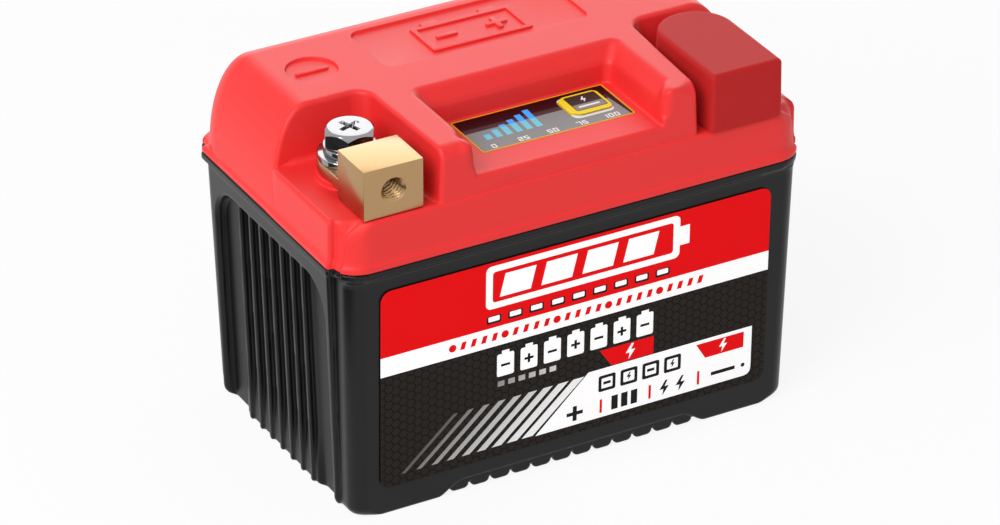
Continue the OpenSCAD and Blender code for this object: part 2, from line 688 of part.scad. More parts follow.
// Straight starts and ends of the heavy leads, inside their crimped barrels
function tab_start(c) = [for (d = [0, -4.2, -5.2]) [tab_end + d, c[0], c[1] - tab_drop]];
function lug_end(x) = [for (d = [6.2, 5.2, 1]) [x, screw_y + barrel_y + d, lug_mid]];

module crimp_barrel() difference() {
    cylinder(h = barrel_len, r = lead_r + 0.5);
    translate([0, 0, 0.6]) cylinder(h = barrel_len, r = lead_r + 0.03);
}

// End tab of the pack: a plate on the cell, a foot that stands out and a crimped barrel
module end_tab(i) {
    c = CELLS[i - 1];
    color(copper) translate([-strap_x - strap_t, c[0], c[1]]) {
        translate([strap_t / 2, 0, 0]) cube([strap_t, strap_w, strap_w], center = true);
        translate([-tab_out, -tab_w / 2, -strap_w / 2]) cube([tab_out + strap_t, tab_w, strap_t]);
        translate([-tab_out + 0.4, 0, -tab_drop]) rotate([0, -90, 0]) crimp_barrel();
    }
}

module neg_lead() color([0.12, 0.12, 0.12]) wire(concat(tab_start(CELLS[0]), [
    [-lead_x, -10, cell_z2 - 3], [-lead_x - 0.4, -1, cell_z2 + 1], [-lead_x + 2, 5, cell_z2 + 6],
    [neg_x, 3.8, lug_mid - 0.6]], lug_end(neg_x)), lead_r);

module pos_lead() color([0.75, 0.1, 0.1]) wire(concat(tab_start(CELLS[3]), [
    [-lead_x + 1, -17, cell_z1 - 2], [-lead_x + 3, -23, cell_z1 + 6], [-lead_x + 10, route_y, holder_zc],
    [0, route_y, holder_zc], [lead_x - 11, route_y, holder_zc], [lead_x - 4, -23, holder_zc + 3],
    [lead_x, -14, cell_z2 - 7], [lead_x, -3, cell_z2 - 1], [pos_x + 3, 5, cell_z2 + 6],
    [pos_x, 3.8, lug_mid - 0.6]], lug_end(pos_x)), lead_r);

module lug(x) color(copper) translate([x, screw_y, lug_z]) difference() {
    union() {
        cylinder(h = lug_t, r = lug_r);
        translate([-2.5, 0, 0]) cube([5, barrel_y + 0.6, lug_t]);
        translate([0, barrel_y, lug_t / 2]) rotate([-90, 0, 0]) crimp_barrel();
    }
    translate([0, 0, -e]) cylinder(h = 9, r = stud_r + 2 * stud_fit);
}

module lead_screws() color(steel) for (x = SIDES) translate([x, screw_y, lug_z]) {
    translate([0, 0, -1.8]) cylinder(h = 1.8, r = 3.4);
    cylinder(h = stud_top - lug_z - 0.3, r = stud_r);
}

// ---- balancing board ----
module balance_board() color(board_green)
    translate([0, 0, board_z]) linear_extrude(board_t) difference() {
        square([board_len, board_dep], center = true);
        for (x = [-1, 1], y = [-1, 1]) translate([x * post_x, y * post_y]) circle(board_screw_r + 0.2);
    }

module balance_board_screws() color(steel)
    for (x = [-1, 1], y = [-1, 1]) translate([x * post_x, y * post_y, board_z]) {
        translate([0, 0, 0.2 - post_hole]) cylinder(h = post_hole - 0.2 + board_t, r = board_screw_r);
        translate([0, 0, board_t]) cylinder(h = 1.4 * board_screw_r, r = 2 * board_screw_r);
    }

module balance_resistors() color([0.2, 0.2, 0.2])
    for (i = [0 : 3], j = [0 : 1])
        translate([(i - 1.6) * part_pitch, 14 + 4 * j, board_z + board_t + resistor[2] / 2])
            cube(resistor, center = true);

module balance_transistors() color([0.08, 0.08, 0.08])
    for (i = [0 : 3]) translate([(i - 1.6) * part_pitch, 6, board_z + board_t + transistor[2] / 2])
        cube(transistor, center = true);

module balance_controller() color([0.05, 0.05, 0.05])
    translate([4, -6, board_z + board_t + controller[2] / 2]) cube(controller, center = true);

module balance_plug() color([0.9, 0.9, 0.85])
    translate([-board_len / 2 + 4, 0, board_z + board_t + plug[2] / 2]) cube(plug, center = true);

module balance_wires() color([0.8, 0.75, 0.1]) {
    top = board_z + board_t + 2;
    low = holder_top - 4;
    pad_z = board_z + board_t + wire_d / 2 + 0.05;
    // left taps: start at the plug, run down the cell ends to the tabs and the strap
    for (w = [[-4, -cell_y + 5.1, cell_z2], [0, -cell_y + 7.3, cell_z1], [4, cell_y, cell_z2]]) wire([
        [-board_len / 2 + 1.2, w[0], top], [-board_len / 2 - 1, w[0], top],
        [-balance_x - 0.4, (w[0] + w[1]) / 2, holder_top + 2.2], [-balance_x, w[1], low],
        [-balance_x, w[1], (low + w[2]) / 2], [-balance_x, w[2] < holder_zc ? w[1] - 2.4 : w[1], w[2]]],
        wire_d / 2, 8, 3);
    // right taps: from two pads at the board's edge
    for (w = [[-8, cell_z2], [8, cell_z1]]) wire([
        [board_len / 2 - 2.5, w[0], pad_z], [board_len / 2 + 1, w[0], pad_z],
        [balance_x + 0.4, w[0], holder_top + 1.2], [balance_x, w[0], low],
        [balance_x, w[0], (low + w[1]) / 2], [balance_x, w[0], w[1]]], wire_d / 2, 8, 3);
}

module gauge_ribbon() color([0.85, 0.85, 0.85]) {
    x = gauge_cx - gboard_len / 2 + 8;
    z0 = board_z + board_t;
    translate([x - 2, gauge_cy - 0.4, z0]) cube([4, 0.8, gboard_z - 3 - z0]);
}

// ---- foam ----
module pad(w, d, h, r = 1) color([0.3, 0.3, 0.32]) linear_extrude(h) rrect(w, d, r);

module foam_bottom() translate([0, 0, floor_z + soft_fit]) pad(2 * holder_x1, 2 * holder_half, foam_t);

module side_pad(s) {
    y_wall = in_y - draft;
    t = y_wall - holder_half - 2 * soft_fit;
    translate([0, s * (holder_half + soft_fit + t / 2), holder_zc - holder_half + 2])
        pad(2 * holder_x0 - 4, t, holder_half - lead_r - 6, t / 2.5);
}

module foam_front() side_pad(-1);
module foam_back() side_pad(1);

module end_pad(s) {
    x0 = balance_x + wire_d / 2 + soft_fit;
    x1 = in_x - draft - soft_fit;
    y0 = 9;
    y1 = in_y - draft - wall - 0.9;
    translate([s * (x0 + x1) / 2, (y0 + y1) / 2, floor_z + soft_fit])
        pad(x1 - x0, y1 - y0, seam_z - floor_z - 12, 1.5);
}

module foam_left() end_pad(-1);
module foam_right() end_pad(1);

case_base();
case_cover();
cover_seal();
front_label();
gauge_film();
gauge_light_bars();
gauge_board();
gauge_leds();
test_key();
test_switch();
gauge_board_screws();
gauge_plug();
terminal_block(neg_x);  // neg_terminal_block
terminal_block(pos_x);  // pos_terminal_block
terminal_screw(neg_x);  // neg_terminal_screw
terminal_screw(pos_x);  // pos_terminal_screw
flat_washer(neg_x);  // neg_flat_washer
flat_washer(pos_x);  // pos_flat_washer
spring_washer(neg_x);  // neg_spring_washer
spring_washer(pos_x);  // pos_spring_washer
terminal_insert(neg_x);  // neg_insert
terminal_insert(pos_x);  // pos_insert
pos_terminal_cap();
cell(1);  // cell_1
cell(2);  // cell_2
cell(3);  // cell_3
cell(4);  // cell_4
cell_sleeves();
cell_insulators();
cell_holder(-1);  // cell_holder_left
cell_holder(1);  // cell_holder_right
strap(1, 1, 2);  // strap_1_2
strap(-1, 2, 3);  // strap_2_3
strap(1, 3, 4);  // strap_3_4
end_tab(1);  // neg_tab
end_tab(4);  // pos_tab
neg_lead();
pos_lead();
lug(neg_x);  // neg_lug
lug(pos_x);  // pos_lug
lead_screws();
balance_board();
balance_board_screws();
balance_resistors();
balance_transistors();
balance_controller();
balance_plug();
balance_wires();
gauge_ribbon();
foam_bottom();
foam_front();
foam_back();
foam_left();
foam_right();
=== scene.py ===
# %% [markdown]
# # A small lithium motorcycle battery
# The CAD model gives every piece its place and size. This lesson dresses it: a red moulded cover and a
# black ribbed case, brass block terminals, bright screws, a printed label and a charge gauge.
# The fixed frame comes in first.

# %% Load the imported frame
import json
import math
import bmesh
import bpy
import numpy as np
from mathutils import Matrix, Vector
from mathutils.geometry import delaunay_2d_cdt


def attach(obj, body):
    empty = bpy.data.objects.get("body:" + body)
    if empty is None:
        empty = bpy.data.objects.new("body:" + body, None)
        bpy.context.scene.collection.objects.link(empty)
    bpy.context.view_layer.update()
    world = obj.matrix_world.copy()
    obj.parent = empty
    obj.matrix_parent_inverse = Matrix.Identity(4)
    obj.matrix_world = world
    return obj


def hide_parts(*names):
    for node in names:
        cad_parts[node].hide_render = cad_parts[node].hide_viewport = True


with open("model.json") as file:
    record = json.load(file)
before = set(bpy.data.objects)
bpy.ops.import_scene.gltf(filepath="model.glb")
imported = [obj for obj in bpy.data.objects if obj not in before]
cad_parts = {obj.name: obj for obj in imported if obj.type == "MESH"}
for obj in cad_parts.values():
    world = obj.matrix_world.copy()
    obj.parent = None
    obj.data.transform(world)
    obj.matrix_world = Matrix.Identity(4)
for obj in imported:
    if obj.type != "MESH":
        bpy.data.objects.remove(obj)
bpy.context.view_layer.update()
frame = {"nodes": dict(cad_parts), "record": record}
nodes = frame["nodes"]
MM = 0.001

# %% [markdown]
# ## The case's measures
# These are the sizes of the CAD model, in millimetres. The case is 113 long and 70 deep over the seam
# lip, and its top is 83.5 above the feet. Its plan is three outlines laid over one another: the body
# behind the grooves, the two end panels, and the front and back faces with their corner pillars.

# %% Name the sizes that the shells share
SEAM = 60.0            # height of the joint between case and cover
LEDGE = 71.3           # height of the terminal ledges
TOP = 83.5             # top of the cover
FACE_X, FACE_Y = 56.0, 34.5      # end panels and front face at the seam
CORE_X, CORE_Y = 54.6, 33.7      # body behind the grooves at the seam
CORNER_R = 5.0                   # corners of that body
SLAB_X, SLAB_R = 55.5, 6.8       # corner pillars at the seam, and their corners
PANEL_HALF = 29.3      # half width of the end panels
PILLAR_Y = 31.6        # where the front and back faces begin
LIP = 0.5              # how far the seam lip stands out
WALL = 2.2             # wall of both shells
DRAFT = 1.2 / 57.2     # inward lean of the case walls towards the floor
SCREW_Y = -13.9        # the axes of the terminal screws
NEG_X, POS_X = -42.9, 40.8
POST_R = 7.0           # the posts under the terminals
INSERT_R = 4.6         # the threaded inserts in the posts
GAUGE_X = -0.4         # middle of the gauge's recess
FILM_X = 0.4           # middle of the gauge's film
GAUGE_FLOOR = 75.5     # floor of the recess
print("case over the lip:", 2 * (FACE_X + LIP), "by", 2 * (FACE_Y + LIP))

# %% [markdown]
# ## Distance fields
# A moulded shell is all soft edges: every corner, inside and outside, has its own radius. Bevelling such
# a mesh by hand goes wrong where three radii meet. So each shell is written as a distance field, a
# function that says how far a point is outside the plastic, and solids are joined with a radius given
# for each joint. Then a mesh is drawn through the points where the field is zero.

# %% Write the rules for outlines and rounded joints
def outline(u, v, half_u, half_v, radius):
    """Distance to a rectangle with round corners, negative inside."""
    a = np.abs(u) - half_u + radius
    b = np.abs(v) - half_v + radius
    return np.minimum(np.maximum(a, b), 0) + np.hypot(np.maximum(a, 0), np.maximum(b, 0)) - radius


def both(a, b, radius):
    """What two solids share, with an outer edge of that radius."""
    corner = np.hypot(np.maximum(radius + a, 0), np.maximum(radius + b, 0))
    return np.minimum(-radius, np.maximum(a, b)) + corner


def either(a, b, radius):
    """Two solids joined, with a fillet of that radius between them."""
    corner = np.hypot(np.maximum(radius - a, 0), np.maximum(radius - b, 0))
    return np.maximum(radius, np.minimum(a, b)) - corner


def without(a, b, radius):
    """Solid a with b cut out of it, and a rim of that radius."""
    return both(a, -b, radius)


def ramp(value, start, end):
    """0 before start and 1 after end, with a smooth turn between."""
    t = np.clip((value - start) / (end - start), 0, 1)
    return t * t * (3 - 2 * t)


EDGE_R, GROOVE_R = 0.7, 0.3      # upright edges of the panels and pillars, and the fillets beside them
STEP_IN = 1.3          # below the seam the pillars stand this much further in than the end panels,
STEP_ROUND = 5.6       # reach this much further round the sides,
STEP_TIGHT = 3.2       # and have corners this much tighter


def case_outline(x, y, inset, below=0.0, narrow=0.0, tuck=0.0):
    """The plan of the case: inner body, end panels, and faces with their corners, shrunk by inset.

    below is 0 above the seam and 1 below it. There narrow takes width from the end panels, and tuck
    moves them inwards.
    """
    x = np.abs(x)
    core = outline(x + tuck + STEP_IN * below, y, CORE_X - inset, CORE_Y - inset, CORNER_R)
    ends = outline(x + tuck, y, FACE_X - inset, PANEL_HALF - narrow, EDGE_R)
    x = x + STEP_IN * below + np.where(y > 0, tuck, 0)
    faces = outline(x, y, SLAB_X - inset, FACE_Y - inset, SLAB_R - STEP_TIGHT * below)
    faces = both(faces, PILLAR_Y - STEP_ROUND * below - np.abs(y), EDGE_R)
    return either(either(core, ends, GROOVE_R), faces, GROOVE_R)


print("the plan 1 mm outside an end panel says", round(float(case_outline(FACE_X + 1, 0.0, 0.0)), 3))

# %% [markdown]
# ## From a field to a mesh
# The surface net puts one vertex in each small cube that the surface passes through, and one quad across
# each grid edge that it crosses. The vertices then slide along the field's slope onto the true surface,
# flat stretches are thinned out, and the field's slope also gives each corner its shading direction.

# %% Draw a net through the zero of a field
def surface_net(values, low, step):
    """Vertices and quads through the cells where the values change sign."""
    cells = np.array(values.shape) - 1
    cell_ids, hits, quads = [], [], []
    for k in range(3):
        first = np.take(values, range(values.shape[k] - 1), axis=k)
        second = np.take(values, range(1, values.shape[k]), axis=k)
        crossed = (first < 0) != (second < 0)
        at = np.argwhere(crossed)
        v0, v1 = first[crossed], second[crossed]
        point = at.astype(float)
        point[:, k] += v0 / (v0 - v1)
        a, b = (k + 1) % 3, (k + 2) % 3
        ring = []
        for da, db in ((-1, -1), (0, -1), (0, 0), (-1, 0)):
            cell = at.copy()
            cell[:, a] += da
            cell[:, b] += db
            ring.append(np.ravel_multi_index(cell.T, cells))
            cell_ids.append(ring[-1])
            hits.append(point)
        ring = np.stack(ring, 1)
        ring[v0 > 0] = ring[v0 > 0][:, ::-1]
        quads.append(ring)
    used, index = np.unique(np.concatenate(cell_ids), return_inverse=True)
    hits = np.concatenate(hits)
    count = np.bincount(index)
    vertices = np.stack([np.bincount(index, hits[:, k]) / count for k in range(3)], 1)
    return np.array(low) + vertices * step, np.searchsorted(used, np.concatenate(quads))


def slope(field, p, h=0.02):
    """The field's slope at each point of p."""
    parts = []
    for k in range(3):
        ahead, behind = p.copy(), p.copy()
        ahead[:, k] += h
        behind[:, k] -= h
        parts.append((field(*ahead.T) - field(*behind.T)) / (2 * h))
    return np.stack(parts, 1)


def settle(field, p, rounds=4):
    """Moves points onto the surface of the field."""
    for _ in range(rounds):
        g = slope(field, p)
        push = field(*p.T)[:, None] * g / np.maximum((g * g).sum(1), 0.2)[:, None]
        p = p - np.clip(push, -0.3, 0.3)
    return p


def ball(x, y, z):
    """A ball of 3 mm radius, to try the net on."""
    return np.sqrt(x * x + y * y + z * z) - 3.0


ticks = np.arange(-4.0, 4.5, 0.5)
net, quads = surface_net(ball(*np.meshgrid(ticks, ticks, ticks, indexing="ij")), (-4, -4, -4), 0.5)
off = np.abs(ball(*settle(ball, net).T)).max()
print("a test ball:", len(quads), "quads, off by", round(float(off), 6), "mm")

# %% Turn a net into a piece
def read_points(mesh):
    """The vertices in millimetres."""
    co = np.empty(3 * len(mesh.vertices))
    mesh.vertices.foreach_get("co", co)
    return co.reshape(-1, 3) / MM


def write_points(mesh, p):
    """Puts the vertices at these points, in millimetres."""
    mesh.vertices.foreach_set("co", (p * MM).ravel())
    mesh.update()


def new_piece(name, vertices, faces):
    """A mesh object from vertices in millimetres."""
    mesh = bpy.data.meshes.new(name)
    mesh.from_pydata((np.asarray(vertices, float) * MM).tolist(), [], [list(map(int, f)) for f in faces])
    mesh.validate()
    piece = bpy.data.objects.new(name, mesh)
    bpy.context.scene.collection.objects.link(piece)
    return piece


def apply_modifier(piece, kind, **settings):
    """Adds one modifier, takes its result as the mesh and removes it again."""
    modifier = piece.modifiers.new("work", kind)
    for key, value in settings.items():
        setattr(modifier, key, value)
    result = bpy.data.meshes.new_from_object(piece.evaluated_get(bpy.context.evaluated_depsgraph_get()))
    piece.modifiers.clear()
    old, piece.data = piece.data, result
    bpy.data.meshes.remove(old)


def moulded(name, field, low, high, step, triangles):
    """A mesh of the field between two corners, thinned to about that many triangles."""
    ticks = [np.arange(a, b + step, step) for a, b in zip(low, high)]
    x, y, z = np.meshgrid(*ticks, indexing="ij", sparse=True)
    vertices, quads = surface_net(field(x, y, z), low, step)
    piece = new_piece(name, settle(field, vertices), quads)
    if 2 * len(quads) > triangles:
        apply_modifier(piece, "DECIMATE", ratio=triangles / (2 * len(quads)))
        write_points(piece.data, settle(field, read_points(piece.data), 2))
    return piece


print("quick look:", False)

# %% Shade, cut and fuse
CREASE = 32            # edges sharper than this stay crisp, in degrees


def shade(piece, field=None, crease=CREASE):
    """Smooth shading that keeps creases, and the field's own slope where the surface follows it."""
    mesh = piece.data
    mesh.shade_smooth()
    mesh.set_sharp_from_angle(angle=math.radians(crease))
    if field is None:
        return
    own = np.empty(3 * len(mesh.loops))
    mesh.corner_normals.foreach_get("vector", own)
    own = own.reshape(-1, 3)
    corner = np.empty(len(mesh.loops), int)
    mesh.loops.foreach_get("vertex_index", corner)
    p = read_points(mesh)
    g = slope(field, p)
    g /= np.maximum(np.linalg.norm(g, axis=1), 1e-9)[:, None]
    near = np.abs(field(*p.T)) < 0.03
    follows = ((g[corner] * own).sum(1) > 0.75) & near[corner]
    mesh.normals_split_custom_set(np.where(follows[:, None], g[corner], own).tolist())


def combine(piece, operation, *others):
    """Runs one Boolean with each of the others and uses them up."""
    for other in others:
        apply_modifier(piece, "BOOLEAN", object=other, operation=operation, solver="MANIFOLD")
        bpy.data.objects.remove(other)


def cut(piece, *cutters):
    """Cuts each cutter out of a piece."""
    combine(piece, "DIFFERENCE", *cutters)


def fuse(piece, *others):
    """Joins solids into one skin."""
    combine(piece, "UNION", *others)


print("edges sharper than", CREASE, "degrees stay crisp")

# %% [markdown]
# ## The camera
# The battery is seen from its front left, a little under 30 degrees from above, through a long lens that
# keeps its edges nearly parallel. A small shift settles it in the frame.

# %% Place the camera
MIDDLE = Vector((0, 0, 0.04))    # the camera and the lamps look at this point, in metres
DISTANCE = 1.14226               # from there to the camera
YAW, PITCH, ROLL = (math.radians(a) for a in (29.078, 29.489, 0.099))
look = Vector((math.sin(YAW) * math.cos(PITCH), math.cos(YAW) * math.cos(PITCH), -math.sin(PITCH)))
camera_data = bpy.data.cameras.new("camera")
camera_data.lens = 191.12        # on Blender's 36 mm wide sensor
camera_data.shift_x, camera_data.shift_y = 0.0014, -0.0337
camera_data.clip_start, camera_data.clip_end = 0.05, 20
camera = bpy.data.objects.new("camera", camera_data)
bpy.context.scene.collection.objects.link(camera)
camera.location = MIDDLE - look * DISTANCE
turned_to = look.to_track_quat("-Z", "Y").to_matrix() @ Matrix.Rotation(ROLL, 3, "Z")
camera.rotation_euler = turned_to.to_euler()
bpy.context.scene.camera = camera
print("camera at", [round(c, 3) for c in camera.location])

# %% [markdown]
# ## The cover
# The cover is one moulding of red ABS. Its skirt leans a little inwards above the seam, ends in two
# ledges for the terminals, and carries a domed top with wide shoulders at the back and ends. Two
# pockets open at the front corners, and a recess between them holds the gauge. The walls of all three
# lean, so that the mould can open.

# %% Describe the lip, the pockets and the recess
DOME_FRONT = 33.55     # the dome's front stands a little behind the skirt
POCKETS = ((-1, 32.4, 33.5), (1, 29.3, 31.2))     # side, and where its inner wall starts and ends
POCKET_DEEP, POCKET_BACK, POCKET_R = 30, 3.6, 3.8
POCKET_TALL, WALL_LEAN, BACK_LEAN = 23.5, 1.2, 4       # how far the walls lean over that height
RECESS_HALF, RECESS_BACK = 21.1, 10.6
RECESS_FLARE = 2.2     # the left wall swings out by this at the front


def flare(z):
    """How far the seam lip and the fillet above it stand out of the skirt."""
    level = [SEAM, SEAM + 0.25, SEAM + 1.25, SEAM + 1.5, SEAM + 1.75, SEAM + 2.2, SEAM + 2.8, SEAM + 3.6]
    return np.interp(z, level, [0.2, LIP, LIP, 0.42, 0.26, 0.12, 0.04, 0.0])


def pocket(x, y, z, side, front, rear):
    """The room around one terminal."""
    rise = z - LEDGE
    inner = front + (rear - front) * np.clip((y + DOME_FRONT) / POCKET_DEEP, 0, 1)
    wall = inner - rise * WALL_LEAN / POCKET_TALL - side * x
    back = y + POCKET_BACK - rise * BACK_LEAN / POCKET_TALL
    return both(wall, back, POCKET_R)


def gauge_recess(x, y, z):
    """The recess over the gauge: upright walls below, sloping ones above, and open to the front."""
    rise = z - GAUGE_FLOOR
    spread = np.interp(rise, [0, 3.6, 4.2, 4.8, 5.4, 8, 9], [0, 0.6, 0.75, 1.05, 1.5, 3.5, 4.2])
    swing = RECESS_FLARE * ramp(-y, 24, 33) * (x < GAUGE_X)
    sides = np.abs(x - GAUGE_X) - RECESS_HALF - swing - spread * (1 - 0.8 * ramp(-y, 28, 32))
    back = y + RECESS_BACK - spread
    return both(both(sides, back, 2.0), -rise, 0.5)


print("the lip stands out by", float(flare(SEAM + 1)))

# %% Describe the dome
DOME_X, DOME_Y = 56.0, 34.3      # where it comes down to nothing at the ends and the back
DOME_END, DOME_BACK, DOME_FALL = 9.8, 11.3, 21.0      # how far its shoulders reach in and down
DOME_POWER = 1.85      # 2 would turn its corners in an ellipse, and less draws them in


def dome_shape(x, y, z):
    """The domed top: flat in the middle, falling in one sweep at the ends, the back and the corners."""
    a = np.maximum(1 + (np.abs(x) - DOME_X) / DOME_END, 0)
    b = np.maximum(1 + (y - DOME_Y) / DOME_BACK, 0)
    c = np.maximum(1 + (z - TOP) / DOME_FALL, 0)
    plan = np.maximum((a ** DOME_POWER + b ** DOME_POWER) ** (1 / DOME_POWER), 1e-9)
    size = np.maximum(np.hypot(plan, c), 1e-9)
    tilt = 2 * DOME_POWER - 2
    sides = (a / plan) ** tilt / DOME_END ** 2 + (b / plan) ** tilt / DOME_BACK ** 2
    steep = np.sqrt((plan / size) ** 2 * sides + (c / size / DOME_FALL) ** 2)
    return (size - 1) / np.maximum(steep, 1 / DOME_FALL)


print("the dome at its top:", round(float(dome_shape(0.0, 0.0, TOP)), 3))

# %% Join skirt and dome, and mould the cover
SKIRT_LEAN, SKIRT_DROP = 0.055, 9.8      # the skirt's lean, and how far its top falls under the dome
BOSS_H = 1.5           # the posts stand out of the ledges by this
ROOM_X, ROOM_Y = 57.6, 36.2      # the net's room, a little past the seam lip
NET = 0.42             # side of the net's cubes


def cover_skin(x, y, z):
    """The cover without its underside."""
    aside = ramp(np.abs(x), 24, 28)      # 1 over the ledges
    behind = ramp(y, -6, 0)              # 1 in the rear part
    corner = ramp(np.abs(x), 47.5, 52.5) * ramp(-y, 29.3, 31.8)      # 1 at the front corners
    lean = SKIRT_LEAN * np.maximum(z - SEAM - 1.5, 0)
    drop = DOME_END * (1 - np.sqrt(1 - np.clip((z - TOP) / DOME_FALL + 1, 0, 1) ** 2))
    shifted = np.abs(x) + (drop + 0.15) * behind - 0.8 * lean * (1 - behind)
    skirt_top = LEDGE - SKIRT_DROP * ramp(y, 10, 22)
    edge = 0.45 + 0.45 * aside + 3.2 * corner + 1.8 * ramp(x, 50, 54) * (1 - corner) * (1 - ramp(y, 0, 8))
    skirt = both(case_outline(shifted, y, lean - flare(z)), z - skirt_top, edge)
    dome = both(dome_shape(x, y, z), -y - DOME_FRONT, 1.0 + 2.0 * aside)
    for side, front, rear in POCKETS:
        dome = without(dome, pocket(x, y, z, side, front, rear), 0.9)
    rim = 0.8 + 1.4 * ramp(-y, 27, 33) * ramp(z, 76.5, 78)
    dome = without(dome, gauge_recess(x, y, z), rim)
    ledge = aside * (1 - ramp(np.abs(x), 50, 54)) * (1 - ramp(y, -1, 3)) * ramp(y, -33.5, -31)
    skin = either(skirt, dome, 0.12 + 1.3 * ledge)
    for middle in (NEG_X, POS_X):
        boss = both(np.hypot(x - middle, y - SCREW_Y) - POST_R, z - LEDGE - BOSS_H, 0.4)
        skin = either(skin, boss, 0.4)
    return skin


def cover_field(x, y, z):
    """The cover as a shell, with solid posts around the inserts."""
    skin = cover_skin(x, y, z)
    hollow = skin + WALL
    for middle in (NEG_X, POS_X):
        hollow = np.maximum(hollow, POST_R - np.hypot(x - middle, y - SCREW_Y))
    return without(both(skin, SEAM - z, 0.15), hollow, 0.15)


cover = moulded("cover", cover_field, (-ROOM_X, -ROOM_Y, 59.0), (ROOM_X, ROOM_Y, 84.6), NET, 190000)
print("cover:", len(cover.data.polygons), "faces")

# %% [markdown]
# ## Crisp details in the cover
# The sunk panel, the two polarity discs, the gauge's seat and the bores for the inserts have edges that
# are finer than the net. They are cut in afterwards, with cutters stacked from outlines of growing size:
# that gives each sunk place a small round at the bottom and a bevel at the rim.

# %% Write stacked outlines and turned profiles
SUNK_DEPTH, SIGN_H = 0.7, 0.5    # depth of the sunk places, and height of the signs in them


def ring_points(half_u, half_v, radius, steps=8):
    """Points around a rectangle with round corners."""
    points = []
    for k, (su, sv) in enumerate(((1, 1), (-1, 1), (-1, -1), (1, -1))):
        for i in range(steps + 1):
            turn = math.pi / 2 * (k + i / steps)
            points.append((su * (half_u - radius) + radius * math.cos(turn),
                           sv * (half_v - radius) + radius * math.sin(turn)))
    return points


def stack(name, levels, steps=8):
    """A solid from outlines stacked upwards: each level is (z, half_u, half_v, radius, centre x, y)."""
    rings = []
    for z, half_u, half_v, radius, cx, cy in levels:
        rings.append([(cx + u, cy + v, z) for u, v in ring_points(half_u, half_v, radius, steps)])
    return loft(name, rings)


def loft(name, rings, closed=False):
    """Joins rings with the same number of points. Each ring runs anticlockwise seen from its top."""
    n = len(rings[0])
    vertices = [p for ring in rings for p in ring]
    faces = []
    for k in range(len(rings) if closed else len(rings) - 1):
        low, high = k * n, (k + 1) % len(rings) * n
        for i in range(n):
            j = (i + 1) % n
            faces.append((low + i, low + j, high + j, high + i))
    if not closed:
        faces.append(tuple(range(n - 1, -1, -1)))
        faces.append(tuple(range(len(vertices) - n, len(vertices))))
    return new_piece(name, vertices, faces)


def turned(name, profile, cx, cy, segments=96, closed=False):
    """A lathe-turned solid about an upright axis. The profile is (radius, z) from bottom to top."""
    rings = []
    for r, z in profile:
        turns = [2 * math.pi * i / segments for i in range(segments)]
        rings.append([(cx + r * math.cos(t), cy + r * math.sin(t), z) for t in turns])
    return loft(name, rings, closed)


def sunk(name, half_u, half_v, radius, cx, cy):
    """A cutter for a sunk place in the top: round at the foot, bevelled at the rim."""
    floor = TOP - SUNK_DEPTH
    levels = [(floor, -0.32), (floor + 0.03, -0.2), (floor + 0.1, -0.1), (floor + 0.22, -0.05),
              (TOP - 0.16, 0), (TOP - 0.05, 0.07), (TOP + 0.02, 0.2), (TOP + 2, 0.2)]
    return stack(name, [(z, half_u + g, half_v + g, radius + g, cx, cy) for z, g in levels])


def mark(name, half_u, half_v, cx, cy):
    """A raised bar on the floor of a sunk place."""
    z = TOP - SUNK_DEPTH
    levels = [(z - 0.3, 0), (z + SIGN_H - 0.15, 0), (z + SIGN_H - 0.04, -0.05), (z + SIGN_H, -0.16)]
    return stack(name, [(h, half_u + g, half_v + g, 0.35 + g, cx, cy) for h, g in levels], 4)


print("a stacked outline has", len(ring_points(5, 5, 1)), "points")

# %% Cut the sunk places, the gauge's seat and the bores
GAUGE_Y = -18.25
SEAT_X, SEAT_Y, SEAT_R = 18.4, 7.45, 0.6      # half sizes and corners of the gauge's seat
KEY_X, KEY_Y, KEY_HALF, KEY_R = 9.4, -17.05, 3.4, 1.1
PANEL_Y = 13.0
DISC_X, DISC_Y, DISC_R = 38.7, 11.2, 5.6
THIN = 0.6             # half width of the raised signs
WELL_TOP = 78          # the cutters end here, above the gauge's floor and the ledges


def well(name, low, half_u, half_v, radius, cx, cy):
    """A cutter with upright walls, from that height up."""
    return stack(name, [(z, half_u, half_v, radius, cx, cy) for z in (low, WELL_TOP)])


cut(cover, sunk("panel_cutter", 24.7, 9.0, 2.5, 0, PANEL_Y))
for side in (-1, 1):
    cut(cover, sunk("disc_cutter", DISC_R, DISC_R, DISC_R - 0.02, side * DISC_X, DISC_Y))
cut(cover, well("seat_cutter", 75.1, SEAT_X, SEAT_Y, SEAT_R, FILM_X, GAUGE_Y))
cut(cover, well("key_cutter", 72, KEY_HALF, KEY_HALF, KEY_R, KEY_X, KEY_Y))
for middle in (NEG_X, POS_X):
    cut(cover, turned("bore_cutter", [(INSERT_R, 55), (INSERT_R, WELL_TOP)], middle, SCREW_Y, 64))
# a minus and a plus in the discs
marks = [(3.8, THIN, -DISC_X, DISC_Y), (3.8, THIN, DISC_X, DISC_Y), (THIN, 3.8, DISC_X, DISC_Y)]
# a battery's outline in the panel, then its two posts, a minus and a plus
marks += [(12, THIN, 0, 17.2), (12, THIN, 0, 7.1), (THIN, 5.5, -11.4, 12), (THIN, 5.5, 11.4, 12)]
marks += [(2, 0.9, -7, 18.3), (2, 0.9, 7, 18.3), (2.5, THIN, -6, 12), (2.5, THIN, 6, 12), (THIN, 2.5, 6, 12)]
for half_u, half_v, cx, cy in marks:
    fuse(cover, mark("mark", half_u, half_v, cx, cy))
shade(cover, cover_field)
print("cover with its details:", len(cover.data.polygons), "faces")

# %% [markdown]
# ## The case
# The case is moulded from black ABS. Its walls lean in towards the floor, each end has a sunk panel with
# seven upright ribs that run out at the bottom, and it stands on four corner feet. A row of rounded teeth
# hangs under the front and back edges between the feet.

